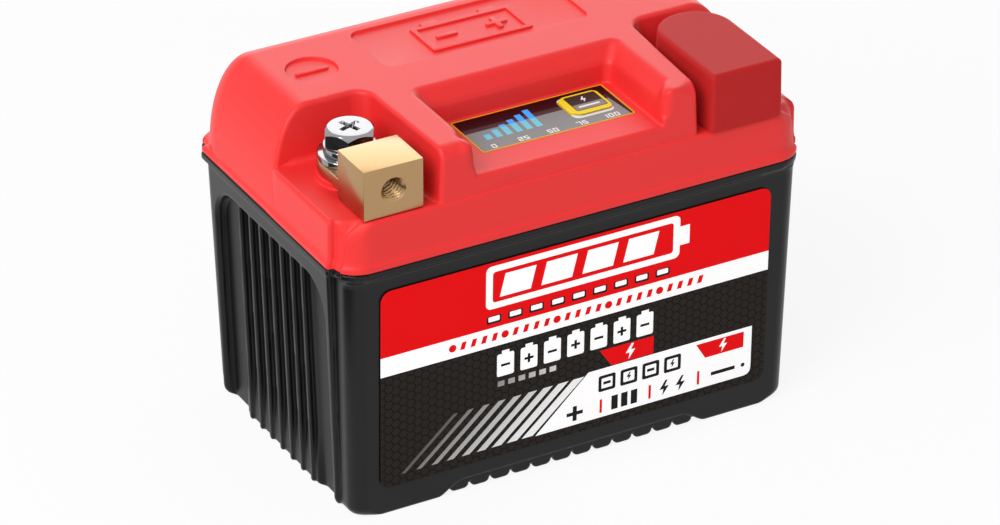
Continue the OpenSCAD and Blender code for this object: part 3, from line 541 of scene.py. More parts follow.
# %% Describe the case's panels and teeth
FOOT_H = 2.8           # height of the gap between the feet
FOOT_X = 32.0          # where the feet begin
FLOOR = 5              # thickness of the case's floor
PANEL_TOP, PANEL_SIDE, PANEL_DEPTH = 53.5, 25.0, 1.6
PANEL_TALL, PANEL_R = 40, 8.0    # half height of the sunk panels, which run out below, and their corners
RIB_PITCH, RIB_HALF, RIBS = 4.8, 0.7, 7
TOOTH_PITCH, TOOTH_HALF, TEETH = 5.0, 2.3, 12
TEETH_X, TEETH_BACK = 30.2, 1.7  # half length of a row, and how far it stands behind the face
TUCK, TUCK_LEAN = 0.4, 0.01      # how far the ends stand in below the seam, and their extra lean
NARROW, NARROW_LEAN = 1.6, 0.014      # how much narrower the end panels are there, and their taper


def nearest(value, pitch, count):
    """How far a value is from the nearest of a row of marks."""
    shift = (count - 1) / 2 % 1
    number = np.clip(np.round(value / pitch - shift) + shift, -(count - 1) / 2, (count - 1) / 2)
    return value - number * pitch


def end_room(x, y, z, inset):
    """The room in both sunk end panels, less the ribs that stand in it."""
    frame_edge = outline(y, z - PANEL_TOP + PANEL_TALL, PANEL_SIDE, PANEL_TALL, PANEL_R)
    face = FACE_X - inset
    wide = ramp(np.abs(y), 16, 18.5)
    depth = PANEL_DEPTH + 0.4 * wide - 0.65 * ramp(-z, -14, -2) * (1 - wide)
    room = both(frame_edge, face - depth - np.abs(x), 1.0)
    ribs = both(np.abs(nearest(y, RIB_PITCH, RIBS)) - RIB_HALF, np.abs(x) - face + 0.2, 0.45)
    return without(room, ribs, 0.35)


def tooth_rows(x, y, z):
    """The rounded teeth under the front and back edges."""
    row = both(np.abs(nearest(x, TOOTH_PITCH, TEETH)) - TOOTH_HALF, 0.1 - z, 1.25)
    row = either(row, 1.5 - z, 0.2)
    row = both(both(row, np.abs(y) - FACE_Y + TEETH_BACK, 0.5), np.abs(x) - TEETH_X, 0.5)
    return both(row, z - FOOT_H - 2, 0.1)


print("ribs in a panel:", RIBS, "teeth in a row:", TEETH)

# %% Join the parts of the case and mould it
def case_skin(x, y, z):
    """The case without its hollow."""
    inset = DRAFT * (SEAM - z)
    lip = np.interp(z, [SEAM - 3.2, SEAM - 2.4, SEAM - 1.9, SEAM - 1.65, SEAM - 1.4, SEAM - 0.3, SEAM],
                    [0, 0.06, 0.2, 0.36, LIP, LIP, 0.15])
    below = 1 - ramp(z, SEAM - 2.2, SEAM - 1.5)
    tuck = (TUCK + TUCK_LEAN * (SEAM - z)) * below
    narrow = (NARROW + NARROW_LEAN * (SEAM - z)) * below
    foot_r = 0.4 + 2.3 * ramp(np.abs(y), 22.5, 26) * ramp(np.abs(x), 46, 51)
    body = both(case_outline(x, y, inset - lip, below, narrow, tuck), -z, foot_r)
    body = without(body, end_room(np.abs(x) + tuck, y, z, inset), 1.0)
    gap = both((np.abs(x) - FOOT_X + 1.5 * z) / 1.8, z - FOOT_H, 0.5)      # the feet lean by 1.5
    return either(without(body, gap, 0.6), tooth_rows(x, y, z), 0.3)


def case_field(x, y, z):
    """The case as an open box."""
    inset = DRAFT * (SEAM - z)
    hollow = both(outline(x, y, CORE_X - WALL - inset, CORE_Y - WALL - inset, 3.9), FLOOR - z, 0.8)
    return without(both(case_skin(x, y, z), z - SEAM, 0.15), hollow, 0.15)


case = moulded("case", case_field, (-ROOM_X, -ROOM_Y, -0.9), (ROOM_X, ROOM_Y, 61.0), NET, 195000)
shade(case, case_field, 50)
print("case:", len(case.data.polygons), "faces")

# %% [markdown]
# ## The terminal cap
# A loose cap of softer red plastic drops over the positive terminal. Its plan is square in front and
# round behind, and its top edges are rounded by a millimetre.

# %% Mould the cap
CAP_R, CAP_FRONT, CAP_LOW, CAP_TOP = 8.75, -34.9, 71.4, 84.8
CAP_X = POS_X - 0.35
CAP_WALL = 1.1
CAP_LEAN = 0.012       # inward lean of its sides


def cap_skin(x, y, z, inset=0.0):
    """The cap's outside, shrunk by inset."""
    lean = CAP_LEAN * (z - CAP_LOW)
    u, v = x - CAP_X, y - SCREW_Y
    sides = np.abs(u) - CAP_R + inset + lean
    back = np.where(v > 0, np.hypot(u, v) - CAP_R + inset + lean, sides)
    plan = both(back, CAP_FRONT - y + inset + lean, 1.0)
    return both(plan, z - CAP_TOP + inset, 1.1)


def cap_field(x, y, z):
    """The cap as a shell, open below."""
    return without(both(cap_skin(x, y, z), CAP_LOW - z, 0.25), cap_skin(x, y, z, CAP_WALL), 0.1)


cap = moulded("terminal_cap", cap_field, (30.8, -35.8, 70.6), (50.2, -4.2, 86.0), 0.25, 60000)
shade(cap, cap_field)
print("cap:", len(cap.data.polygons), "faces")

# %% [markdown]
# ## Terminal blocks
# Each block is sawn from a brass bar: a cube with a tapped hole through its front, and a tongue behind it
# that the terminal screw clamps. The edges carry only a fine file bevel. The thread is a cutter whose
# radius rises and falls once per millimetre along the hole, as an M6 tap leaves it.

# %% Write the helpers for machined pieces
def slab(name, plan, low, high):
    """A plate of any plan between two heights."""
    return loft(name, [[(u, v, z) for u, v in plan] for z in (low, high)])


def placed(tool, x, y, z, turn=0, axis="Z"):
    """Turns a tool by so many degrees about the origin and moves it to its place."""
    turned_by = Matrix.Rotation(math.radians(turn), 4, axis)
    tool.data.transform(Matrix.Translation(Vector((x, y, z)) * MM) @ turned_by)
    return tool


def bevelled(piece, width, segments=2):
    """Rounds every crisp edge."""
    apply_modifier(piece, "BEVEL", width=width * MM, segments=segments, limit_method="ANGLE",
                   angle_limit=math.radians(CREASE), harden_normals=False)


def screw_thread(name, low, high, valley, crest, pitch=1.0, segments=48, per_turn=10):
    """A threaded rod along +Z, as one closed skin."""
    rings = []
    for k in range(int((high - low) / pitch * per_turn) + 1):
        z = low + k * pitch / per_turn
        ring = []
        for i in range(segments):
            phase = (z / pitch - i / segments) % 1.0
            height = min(1.0, max(0.0, 1.5 * (1 - abs(2 * phase - 1)) - 0.25))
            r = valley + (crest - valley) * height
            t = 2 * math.pi * i / segments
            ring.append((r * math.cos(t), r * math.sin(t), z))
        rings.append(ring)
    return loft(name, rings)


print("machining helpers: slab, placed, bevelled, screw_thread")

# %% Cut the two blocks
BLOCK_HALF, BLOCK_FRONT, BLOCK_BACK = 6.9, -33.2, -21.7
BLOCK_LOW, BLOCK_HIGH = 71.5, 82.9
TONGUE_ROOT, TONGUE_LOW, TONGUE_HIGH = -23.0, 73.4, 76.0
HOLE_Z = 77.2          # height of the tapped hole


def terminal_block(name, x):
    """A cube with a tapped hole, and a round-ended tongue behind it with a clear hole for the screw."""
    left, right = x - BLOCK_HALF, x + BLOCK_HALF
    square = [(right, BLOCK_BACK), (left, BLOCK_BACK), (left, BLOCK_FRONT), (right, BLOCK_FRONT)]
    block = slab(name, square, BLOCK_LOW, BLOCK_HIGH)
    turns = np.linspace(0, math.pi, 65)
    round_end = [(x + BLOCK_HALF * math.cos(t), SCREW_Y + BLOCK_HALF * math.sin(t)) for t in turns]
    tongue = [(right, TONGUE_ROOT)] + round_end + [(left, TONGUE_ROOT)]
    fuse(block, slab("tongue", tongue, TONGUE_LOW, TONGUE_HIGH))
    bevelled(block, 0.2)
    clear = [(3.5, 73.0), (3.5, 73.4), (3.3, 73.6), (3.3, 75.8), (3.5, 76.0), (3.5, 76.4)]
    cut(block, turned("screw_hole", clear, x, SCREW_Y))
    thread = screw_thread("tap", -1.0, 13.0, 2.3, 2.72)
    mouth = turned("mouth", [(2.9, -1.0), (2.9, 0.0), (2.3, 0.5), (2.3, 1.5)], 0, 0, 64)
    far_mouth = turned("far_mouth", [(2.3, 10.3), (2.3, 10.9), (2.9, 11.5), (2.9, 12.5)], 0, 0, 64)
    for tool in (thread, mouth, far_mouth):
        cut(block, placed(tool, x, BLOCK_FRONT, HOLE_Z, -90, "X"))
    shade(block, crease=30)
    return block


neg_block = terminal_block("negative_block", NEG_X)
pos_block = terminal_block("positive_block", POS_X)
print("block:", len(neg_block.data.polygons), "faces")

# %% [markdown]
# ## Screws, washers and inserts
# The screws are M6 hexagon heads with a cross recess, bright nickel plated. A cone takes the corners off
# the hexagon, so its top is a disc. Under each head lie a split spring washer and a flat washer, and
# below the ledge a brass insert holds the thread.

# %% Describe a screw
HEAD_Z, HEAD_TOP = 79.0, 83.0
HEAD_R = 10 / 2 / math.cos(math.pi / 6)      # an M6 head is 10 across its flats
CONE = [(5.3, 78.5), (5.55, 79.35), (6.4, 79.9), (6.4, 81.5), (5.4, 82.2), (4.9, 82.62),
        (4.72, 82.8), (4.45, 82.92), (4.1, 82.98), (3.5, 83.0)]
CROSS = [(HEAD_TOP - 2.2, 1.1, 0.38), (HEAD_TOP - 1.3, 2.0, 0.44), (HEAD_TOP - 0.2, 2.5, 0.55),
         (HEAD_TOP - 0.05, 2.6, 0.62), (HEAD_TOP + 1, 2.7, 0.7)]     # height, half length and half width
NECK = [(2.2, 62.99), (2.93, 63.5), (2.93, 63.6), (2.3, 63.7), (2.3, 77.5), (2.9, 77.7), (2.9, 79.3)]


def hexagon(cu, cv, radius):
    """The corners of a hexagon."""
    return [(cu + radius * math.cos(t), cv + radius * math.sin(t)) for t in np.arange(6) * math.pi / 3]


def terminal_screw(name, x):
    """A hexagon head with a cross recess, on a threaded shank."""
    head = slab(name, hexagon(x, SCREW_Y, HEAD_R), HEAD_Z, HEAD_TOP)
    bevelled(head, 0.18)
    combine(head, "INTERSECT", turned("cone", CONE, x, SCREW_Y, 128))
    for turn in (20, 110):
        slot = stack("cross", [(z, u, v, 0.2, 0, 0) for z, u, v in CROSS], 3)
        cut(head, placed(slot, x, SCREW_Y, 0, turn))
    shank = placed(screw_thread("shank", 63.0, 78.6, 2.45, 2.93), x, SCREW_Y, 0)
    fuse(shank, turned("neck", NECK, x, SCREW_Y, 64))
    fuse(head, shank)
    shade(head, crease=28)
    return head


print("a screw head measures", round(2 * HEAD_R, 2), "mm across its corners")

# %% Make the screws, the washers and the inserts
FLAT_RING = [(3.2, 76.1), (3.3, 76.0), (6.7, 76.0), (6.8, 76.12), (6.8, 77.22), (6.68, 77.36),
             (6.5, 77.4), (3.3, 77.4), (3.2, 77.3)]
COIL_Z, COIL_H = 77.4, 1.6
COIL = [(3.15, 0.14), (3.25, 0.02), (5.5, 0.02), (5.6, 0.14),
        (5.6, 1.46), (5.5, 1.58), (3.25, 1.58), (3.15, 1.46)]
INSERT = [(3.0, 59.0), (4.5, 59.0), (INSERT_R, 59.1), (INSERT_R, 72.8), (6.2, 72.8), (6.3, 72.9),
          (6.3, 73.25), (6.15, 73.4), (3.4, 73.4), (3.0, 73.0)]


def spring_washer(name, x):
    """A split ring that climbs a little from one end of its coil to the other."""
    rings = []
    for t in np.linspace(math.radians(63), math.radians(417), 119):       # the split is at the back
        climb = 0.06 * (t - math.radians(240)) / math.pi
        ring = []
        for r, h in COIL:
            z = COIL_Z + min(max(h + climb, 0), COIL_H)
            ring.append((x + r * math.cos(t), SCREW_Y + r * math.sin(t), z))
        rings.append(ring[::-1])
    return loft(name, rings)


fittings = {}
for key, word, x in (("neg", "negative", NEG_X), ("pos", "positive", POS_X)):
    fittings[key] = [terminal_screw(word + "_screw", x),
                     turned(word + "_flat_washer", FLAT_RING, x, SCREW_Y, 128, closed=True),
                     spring_washer(word + "_spring_washer", x),
                     turned(word + "_insert", INSERT, x, SCREW_Y, 96, closed=True)]
    for piece in fittings[key][1:]:
        shade(piece, crease=28)
print("fittings on each side:", [piece.name for piece in fittings["neg"]])

# %% [markdown]
# ## Printed films
# The label and the gauge's film are thin sheets with several inks. Instead of an image, each ink is a set
# of polygons. They are laid one over another as a printer would, and a triangulation cuts the sheet
# along every outline. Each triangle takes the ink that was laid last, so the print is sharp at any
# distance.

# %% Write the shapes that are printed
DIGITS = {"0": "abcdef", "1": "bc", "2": "abged", "5": "afgcd", "7": "abc"}


def bar(u0, v0, u1, v1):
    """An upright rectangle."""
    return [(u0, v0), (u1, v0), (u1, v1), (u0, v1)]


def slanted(u0, u1, v0, v1, shift):
    """A bar whose top is shifted sideways."""
    return [(u0, v0), (u1, v0), (u1 + shift, v1), (u0 + shift, v1)]


def rounded(cu, cv, half_u, half_v, radius, steps=5):
    """A rectangle with round corners."""
    return [(cu + u, cv + v) for u, v in ring_points(half_u, half_v, radius, steps)]


def moved(polygon, cu, cv, scale=1.0):
    """A shape drawn around (0, 0), scaled and moved to its place."""
    return [(cu + scale * u, cv + scale * v) for u, v in polygon]


def number(text, cu, cv, width, height, stroke):
    """Plain numerals built from straight strokes, as on a dial."""
    polygons = []
    low, high = cv - height / 2, cv + height / 2
    start = cu - (len(text) * (width + stroke) - stroke) / 2
    for k, digit in enumerate(text):
        left = start + k * (width + stroke)
        right = left + width
        strokes = {"a": bar(left, high - stroke, right, high),
                   "b": bar(right - stroke, cv, right, high),
                   "c": bar(right - stroke, low, right, cv),
                   "d": bar(left, low, right, low + stroke),
                   "e": bar(left, low, left + stroke, cv),
                   "f": bar(left, cv, left + stroke, high),
                   "g": bar(left, cv - stroke / 2, right, cv + stroke / 2)}
        polygons += [strokes[s] for s in DIGITS[digit]]
    return polygons


print("numerals:", sorted(DIGITS))

# %% Write the printing itself
def lay(sheet, ink, *polygons):
    """Lays polygons of one ink over what a sheet already carries."""
    sheet.extend((ink, polygon) for polygon in polygons)


def printed(name, layers, place, thickness, inks):
    """A printed sheet: the first layer is its outline. place turns (u, v, height) into millimetres."""
    points, loops, owner = [], [], []
    for ink, polygon in layers:
        area = sum(a[0] * b[1] - b[0] * a[1] for a, b in zip(polygon, polygon[1:] + polygon[:1]))
        order = polygon if area > 0 else polygon[::-1]
        loops.append(list(range(len(points), len(points) + len(order))))
        points += [Vector(p) for p in order]
        owner.append(ink)
    flat, _, faces, _, _, origin = delaunay_2d_cdt(points, [], loops, 1, 1e-5)
    keep = [(f, owner[max(o)]) for f, o in zip(faces, origin) if 0 in o]
    mesh = bmesh.new()
    top = [mesh.verts.new([c * MM for c in place(p[0], p[1], thickness)]) for p in flat]
    for face, ink in keep:
        try:
            made = mesh.faces.new([top[i] for i in face])
        except ValueError:
            continue
        made.material_index = inks.index(ink)
    rim = [e for e in mesh.edges if len(e.link_faces) == 1]
    low = {}
    for i, p in enumerate(flat):
        if any(e in rim for e in top[i].link_edges):
            low[top[i]] = mesh.verts.new([c * MM for c in place(p[0], p[1], 0)])
    for e in rim:
        a, b = e.link_loops[0].vert, e.link_loops[0].link_loop_next.vert
        mesh.faces.new([b, a, low[a], low[b]]).material_index = 0
    follow = {e.link_loops[0].vert: e.link_loops[0].link_loop_next.vert for e in rim}
    ring = [rim[0].link_loops[0].vert]
    while follow[ring[-1]] != ring[0]:
        ring.append(follow[ring[-1]])
    mesh.faces.new([low[v] for v in reversed(ring)]).material_index = 0
    for v in [v for v in mesh.verts if not v.link_faces]:
        mesh.verts.remove(v)
    piece = bpy.data.objects.new(name, bpy.data.meshes.new(name))
    mesh.to_mesh(piece.data)
    mesh.free()
    bpy.context.scene.collection.objects.link(piece)
    return piece


print("printing helpers: lay, printed")

# %% [markdown]
# ## The label
# The label covers most of the front: a red field with a white battery sign, a white band, and a black
# field with a honeycomb pattern. A white plate with plain signs stands at the lower right, and stripes
# that brighten towards it lead the eye along. It carries no words and no names.

# %% Lay the fields of the label
LABEL_HALF, LABEL_LOW, LABEL_HIGH = 47.0, 6.6, 54.8
BAND_LOW, BAND_HIGH = 34.2, 38.9       # the white band
OVER = 60              # past every edge: the first layer's outline trims what is laid over it
COMB, COMB_GAP = 2.0, 0.26             # distance between honeycomb cells, and the line between them
LABEL_INKS = ["label_black", "comb", "label_red", "label_white", "stripe", "sign_black"]

label = []
label_v = (LABEL_LOW + LABEL_HIGH) / 2
lay(label, "label_black", rounded(0, label_v, LABEL_HALF, (LABEL_HIGH - LABEL_LOW) / 2, 2.5))
for column in range(55):
    for row in range(15):
        u = (column - 27) * COMB * 0.866      # columns stand closer, by half the root of 3
        v = 6.0 + (row + 0.5 * (column % 2)) * COMB
        lay(label, "comb", hexagon(u, v, (COMB - COMB_GAP) / 2 / math.cos(math.pi / 6)))
lay(label, "label_white", bar(-OVER, BAND_LOW, OVER, BAND_HIGH))
lay(label, "label_red", bar(-OVER, BAND_HIGH, OVER, OVER))
print("fields of the label:", len(label), "shapes")

# %% Lay the battery sign, the row of small cells and the red marks
lay(label, "label_white", rounded(1.2, 48.7, 23.4, 5.2, 1.3))
lay(label, "label_red", rounded(1.2, 48.7, 21.8, 3.7, 0.7))
lay(label, "label_white", bar(24.6, 46.4, 27.0, 51.0))
for k in range(4):
    lay(label, "label_white", slanted(-18.9 + 9.9 * k, -11.5 + 9.9 * k, 46.0, 51.4, 1.3))
for k in range(9):
    lay(label, "sign_black", rounded(-20.2 + 5.1 * k, 40.9, 1.75, 0.95, 0.3, 2))
    lay(label, "label_white", rounded(-20.2 + 5.1 * k, 41.05, 1.35, 0.6, 0.2, 2))
for k in range(25):
    u = -30.0 + 2.5 * k
    dot, dash = rounded(u, 36.55, 0.9, 0.9, 0.88, 4), slanted(u - 0.75, u + 0.35, 35.65, 37.45, 0.5)
    lay(label, "label_red", dash if k % 5 else dot)
print("with the upper signs:", len(label), "shapes")

# %% Lay the signs of the black field
BOLT = [(0.5, 3.4), (-2.1, -0.5), (-0.3, -0.5), (-0.8, -3.4), (2.1, 0.7), (0.2, 0.7), (1.5, 3.4)]
for k in range(7):
    u = -17.3 + 5.65 * k
    lay(label, "label_white", rounded(u, 29.1, 2.05, 2.75, 0.4, 2), bar(u - 0.9, 31.5, u + 0.9, 32.6))
    lay(label, "label_black", bar(u - 1.1, 28.7, u + 1.1, 29.3))
    if k % 2:
        lay(label, "label_black", bar(u - 0.3, 27.9, u + 0.3, 30.1))
for k in range(6):
    lay(label, "stripe", bar(-19.1 + 2.5 * k, 23.9, -17.5 + 2.5 * k, 25.2))
lay(label, "label_red", [(5.6, 25.6), (18.9, 25.6), (18.9, 21.2), (8.6, 21.2)])
lay(label, "label_white", moved(BOLT, 13.2, 23.4, 0.55))
print("with the cells:", len(label), "shapes")

# %% Lay the white plate, its signs and the stripes
PLUS_U, CELLS_U, BOLTS_U, MINUS_U = -0.2, 12.2, 24.3, 36.6       # middles of the four lower signs
round_corner = [(43.6, 10.6), (43.4, 9.6), (42.8, 9.0), (41.8, 8.8)]
lay(label, "label_white", [(3.0, 21.0), (43.6, 21.0)] + round_corner + [(-9.8, 8.8)])
lay(label, "label_red", [(29.6, 20.1), (41.6, 20.1), (41.6, 16.2), (32.0, 16.2)])
lay(label, "label_white", moved(BOLT, 36.4, 18.2, 0.48))
for k in range(4):
    u = 7.6 + 5.4 * k
    lay(label, "sign_black", rounded(u, 17.2, 2.1, 2.0, 0.4, 2))
    lay(label, "label_white", rounded(u, 17.2, 1.35, 1.25, 0.2, 2))
    lay(label, "sign_black", moved(BOLT, u, 17.2, 0.3) if k % 2 else bar(u - 0.9, 16.85, u + 0.9, 17.55))
for k in range(3):
    u = 6.2 + 12.1 * k
    lay(label, "label_red", bar(u - 0.3, 9.9, u + 0.3, 13.3))
lay(label, "sign_black", bar(PLUS_U - 2.0, 11.2, PLUS_U + 2.0, 12.1))
lay(label, "sign_black", bar(PLUS_U - 0.5, 9.8, PLUS_U + 0.5, 13.5))
for k in range(3):
    lay(label, "sign_black", bar(CELLS_U - 3.4 + 2.4 * k, 9.9, CELLS_U - 1.8 + 2.4 * k, 13.4))
lay(label, "sign_black", moved(BOLT, BOLTS_U - 2.4, 11.6, 0.56), moved(BOLT, BOLTS_U + 1.6, 11.6, 0.56))
lay(label, "sign_black", bar(MINUS_U - 3.0, 11.2, MINUS_U + 3.0, 12.1))
lay(label, "sign_black", rounded(MINUS_U + 5, 11.65, 0.5, 0.5, 0.45, 2))
for k in range(9):
    u, width = -42.1 + 3.62 * k, 1.1 + 0.2 * k       # wider towards the plate
    lay(label, "stripe", slanted(u, u + width, 9.1, 20.3, 12.4))
print("with the plate and the stripes:", len(label), "shapes")

# %% Print the label
LABEL_Y, LABEL_GAP = 33.3, 0.06        # the front face at the feet's height, and the glue on it
LEAN = math.atan(DRAFT)


def on_front(u, v, height):
    """A point of the label: v runs up the leaning front wall from the floor's height."""
    rise, out = v - FOOT_H, height + LABEL_GAP
    y = -LABEL_Y - rise * math.sin(LEAN) - out * math.cos(LEAN)
    z = FOOT_H + rise * math.cos(LEAN) - out * math.sin(LEAN)
    return (u, y, z)


front_label = printed("front_label_print", label, on_front, 0.3, LABEL_INKS)
print("label:", len(front_label.data.polygons), "faces")

# %% [markdown]
# ## The charge gauge
# Six bars light up in steps of charge, and a sprung key beside them starts the reading. The film has a
# thin yellow edge, a dark upper part and a grey lower part, and a scale of plain numbers under the bars.

# %% Lay the gauge's film
FILM_U, FILM_V = 18.3, 7.35      # its half sizes
EDGE = 0.4             # the yellow edge
GREY_TOP = -17.0       # where the grey part ends
BAR_FOOT = -21.05      # where the six bars start
GAUGE_INKS = ["film_edge", "film_dark", "film_mid", "film_grey", "bar_light", "bar_pale", "film_white",
              "film_yellow"]

gauge = []
u0, u1, v0, v1 = FILM_X - FILM_U, FILM_X + FILM_U, GAUGE_Y - FILM_V, GAUGE_Y + FILM_V
lay(gauge, "film_edge", rounded(FILM_X, GAUGE_Y, FILM_U, FILM_V, 0.5, 3))
lay(gauge, "film_dark", bar(u0 + EDGE, v0 + EDGE, u1 - EDGE, v1 - EDGE))
lay(gauge, "film_mid", bar(u0 + EDGE, GREY_TOP, u1 - 1.6, -15.4))
grey = [(u0 + EDGE, v0 + EDGE), (u1 - 0.9, v0 + EDGE), (u1 - 1.7, GREY_TOP), (u0 + EDGE, GREY_TOP)]
lay(gauge, "film_grey", grey)
for k in range(6):
    u, head = -14.4 + 2.38 * k, -18.7 + 1.08 * k
    lay(gauge, "bar_light", slanted(u, u + 1.45, BAR_FOOT, head, 0.06 * (head - BAR_FOOT)))
    lay(gauge, "bar_pale", slanted(u, u + 1.45, BAR_FOOT, min(head, GREY_TOP) - 0.3, 0.2))
for k, text in enumerate(("0", "25", "50", "75", "100")):
    lay(gauge, "film_white", *number(text, -14.4 + 7.0 * k, -24.0, 1.1, 1.6, 0.3))
lay(gauge, "film_white", rounded(KEY_X + 1.7, KEY_Y - 0.4, 4.95, 4.7, 1.6, 4))
lay(gauge, "hole", rounded(KEY_X, KEY_Y, KEY_HALF, KEY_HALF, KEY_R, 4))
print("gauge film:", len(gauge), "shapes")

# %% Print the film and the key
FILM_Z, KEY_Z = 75.2, 76.0       # undersides of the two sheets
PLATE_X, PLATE_Y = KEY_X + 1.9, KEY_Y - 0.3      # the printed plate on the key is wider than the key
KEY_INKS = ["film_yellow", "key_dark", "film_white", "film_grey"]


def at_height(z):
    """Places the points of a level sheet whose underside is at that height."""
    return lambda u, v, height: (u, v, z + height)


def printed_with_hole(name, layers, place, thickness, inks):
    """Prints a sheet and takes out the shape that is inked as hole."""
    piece = printed(name, layers, place, thickness, inks + ["hole"])
    mesh = bmesh.new()
    mesh.from_mesh(piece.data)
    gone = [f for f in mesh.faces if f.material_index == len(inks)]
    bmesh.ops.delete(mesh, geom=gone, context="FACES")
    mesh.to_mesh(piece.data)
    mesh.free()
    return piece


key_print = []
lay(key_print, "film_yellow", rounded(PLATE_X, PLATE_Y, 4.45, 4.15, 1.3, 6))
lay(key_print, "key_dark", rounded(PLATE_X + 0.15, PLATE_Y + 0.45, 3.75, 3.2, 0.5, 4))
lay(key_print, "film_grey", bar(PLATE_X - 3.4, PLATE_Y - 2.5, PLATE_X + 3.7, PLATE_Y - 0.2))
lay(key_print, "film_white", bar(PLATE_X - 2.4, PLATE_Y - 1.6, PLATE_X + 2.6, PLATE_Y - 0.95))
lay(key_print, "film_white", moved(BOLT, PLATE_X + 0.2, PLATE_Y + 1.5, 0.34))
gauge_film = printed_with_hole("gauge_film_print", gauge, at_height(FILM_Z), 0.35, GAUGE_INKS)
test_key = printed("test_key_print", key_print, at_height(KEY_Z), 0.1, KEY_INKS)
print("gauge film:", len(gauge_film.data.polygons), "faces; key:", len(test_key.data.polygons), "faces")

# %% [markdown]
# ## Writing a finish
# Every colour is an sRGB hex value, as a paint chart or a colour picker gives it, and one function turns
# it to the linear value that the shader wants. One more function adds a node with its settings and
# links, and one starts a finish from a base colour, a roughness and whatever else the surface needs.

# %% Write the colour and node helpers
def linear(code):
    """An sRGB hex colour as linear red, green, blue and alpha."""
    parts = [int(code[i:i + 2], 16) / 255 for i in (1, 3, 5)]
    return tuple(c / 12.92 if c <= 0.04045 else ((c + 0.055) / 1.055) ** 2.4 for c in parts) + (1.0,)


def add(tree, kind, settings=None, links=None):
    """Adds a node: settings are its inputs or properties, links join inputs to other nodes' outputs."""
    node = tree.nodes.new("ShaderNode" + kind)
    for key, value in (settings or {}).items():
        if isinstance(key, str) and hasattr(node, key):
            setattr(node, key, value)
        else:
            node.inputs[key].default_value = value
    for key, source in (links or {}).items():
        tree.links.new(source, node.inputs[key])
    return node


def new_finish(name, base, roughness, **sockets):
    """A material with a plain shader: its tree and shader come back for the texture's nodes."""
    material = bpy.data.materials.new(name)
    material.use_nodes = True
    tree = material.node_tree
    shader = tree.nodes["Principled BSDF"]
    shader.inputs["Base Color"].default_value = linear(base)
    shader.inputs["Roughness"].default_value = roughness
    for key, value in sockets.items():
        shader.inputs[key.replace("_", " ")].default_value = value
    return material, tree, shader


def grain(tree, shader, size, depth, shift=0.0, stretch=(1, 1, 1)):
    """A fine moulded or ground texture: size and depth are in millimetres, shift changes the roughness."""
    place = add(tree, "TexCoord")
    scale = tuple(1000 / size * s for s in stretch)
    scaled = add(tree, "Mapping", {"Scale": scale}, {"Vector": place.outputs["Object"]})
    noise = add(tree, "TexNoise", {"Scale": 1.0, "Detail": 2.0}, {"Vector": scaled.outputs["Vector"]})
    bump = add(tree, "Bump", {"Strength": 1.0, "Distance": depth * MM}, {"Height": noise.outputs["Fac"]})
    tree.links.new(bump.outputs["Normal"], shader.inputs["Normal"])
    if shift:
        rough = shader.inputs["Roughness"].default_value
        ends = {"To Min": rough - shift, "To Max": rough + shift}
        changed = add(tree, "MapRange", ends, {"Value": noise.outputs["Fac"]})
        tree.links.new(changed.outputs["Result"], shader.inputs["Roughness"])


def mottle(tree, shader, base, other, size):
    """A slow change between two close colours, as a moulding has away from its gate."""
    place = add(tree, "TexCoord")
    noise = add(tree, "TexNoise", {"Scale": 1000 / size, "Detail": 1.0}, {"Vector": place.outputs["Object"]})
    mix = add(tree, "Mix", {"data_type": "RGBA"}, {0: noise.outputs["Fac"]})
    mix.inputs[6].default_value = linear(base)
    mix.inputs[7].default_value = linear(other)
    tree.links.new(mix.outputs[2], shader.inputs["Base Color"])


finishes = {}
print("middle grey is", round(linear("#808080")[0], 3), "of white's light")

# %% [markdown]
# ## Plastics
# Cover and case are ABS from moulds with a spark-eroded surface: satin, even, with a fine grain that
# breaks up a highlight but can't be seen by itself. The cap is softer and a darker red. The floors of the
# case's sunk end panels are duller than the rest, so a mask finds them from the lean of the end faces.

# %% Mix the moulded plastics
material, tree, shader = new_finish("red_abs", "#ED3030", 0.42, Specular_IOR_Level=0.3)
mottle(tree, shader, "#EE3131", "#EC2F2F", 30)
grain(tree, shader, 0.35, 0.006, 0.03)      # spark-eroded grain, drawn coarser than its 0.05 mm
finishes["cover_red"] = material

material, tree, shader = new_finish("dark_red_polypropylene", "#B82222", 0.5, Specular_IOR_Level=0.1,
                                    Sheen_Weight=1.0, Sheen_Roughness=0.4, Sheen_Tint=linear("#FF5050"))
mottle(tree, shader, "#B92323", "#B72121", 12)
grain(tree, shader, 0.4, 0.008, 0.03)       # the sheen lightens it where it is seen at a slant
finishes["cap_red"] = material

material, tree, shader = new_finish("black_abs", "#101010", 0.3)
mottle(tree, shader, "#111111", "#0F0F0F", 25)
grain(tree, shader, 0.35, 0.004, 0.03)      # an even, deep black with a soft gloss
finishes["case_black"] = material
print("plastics:", sorted(finishes))

# %% Dull the floors of the case's sunk panels
# tree and shader are still those of the black ABS
END_LEAN = DRAFT + TUCK_LEAN
END_X = (FACE_X - TUCK - END_LEAN * SEAM) * MM        # the end faces, if they ran down to the floor's height
place = add(tree, "TexCoord")
split = add(tree, "SeparateXYZ", {}, {"Vector": place.outputs["Object"]})
along = add(tree, "Math", {"operation": "ABSOLUTE"}, {0: split.outputs["X"]})
face = add(tree, "Math", {"operation": "MULTIPLY_ADD", 1: END_LEAN, 2: END_X}, {0: split.outputs["Z"]})
deep = add(tree, "Math", {"operation": "SUBTRACT"}, {0: face.outputs[0], 1: along.outputs[0]})
deep = add(tree, "MapRange", {"From Min": 0.8 * MM, "From Max": 1.2 * MM}, {"Value": deep.outputs[0]})
sides = {"From Min": (PANEL_SIDE + 0.6) * MM, "From Max": (PANEL_SIDE - 0.2) * MM}
across = add(tree, "Math", {"operation": "ABSOLUTE"}, {0: split.outputs["Y"]})
across = add(tree, "MapRange", sides, {"Value": across.outputs[0]})
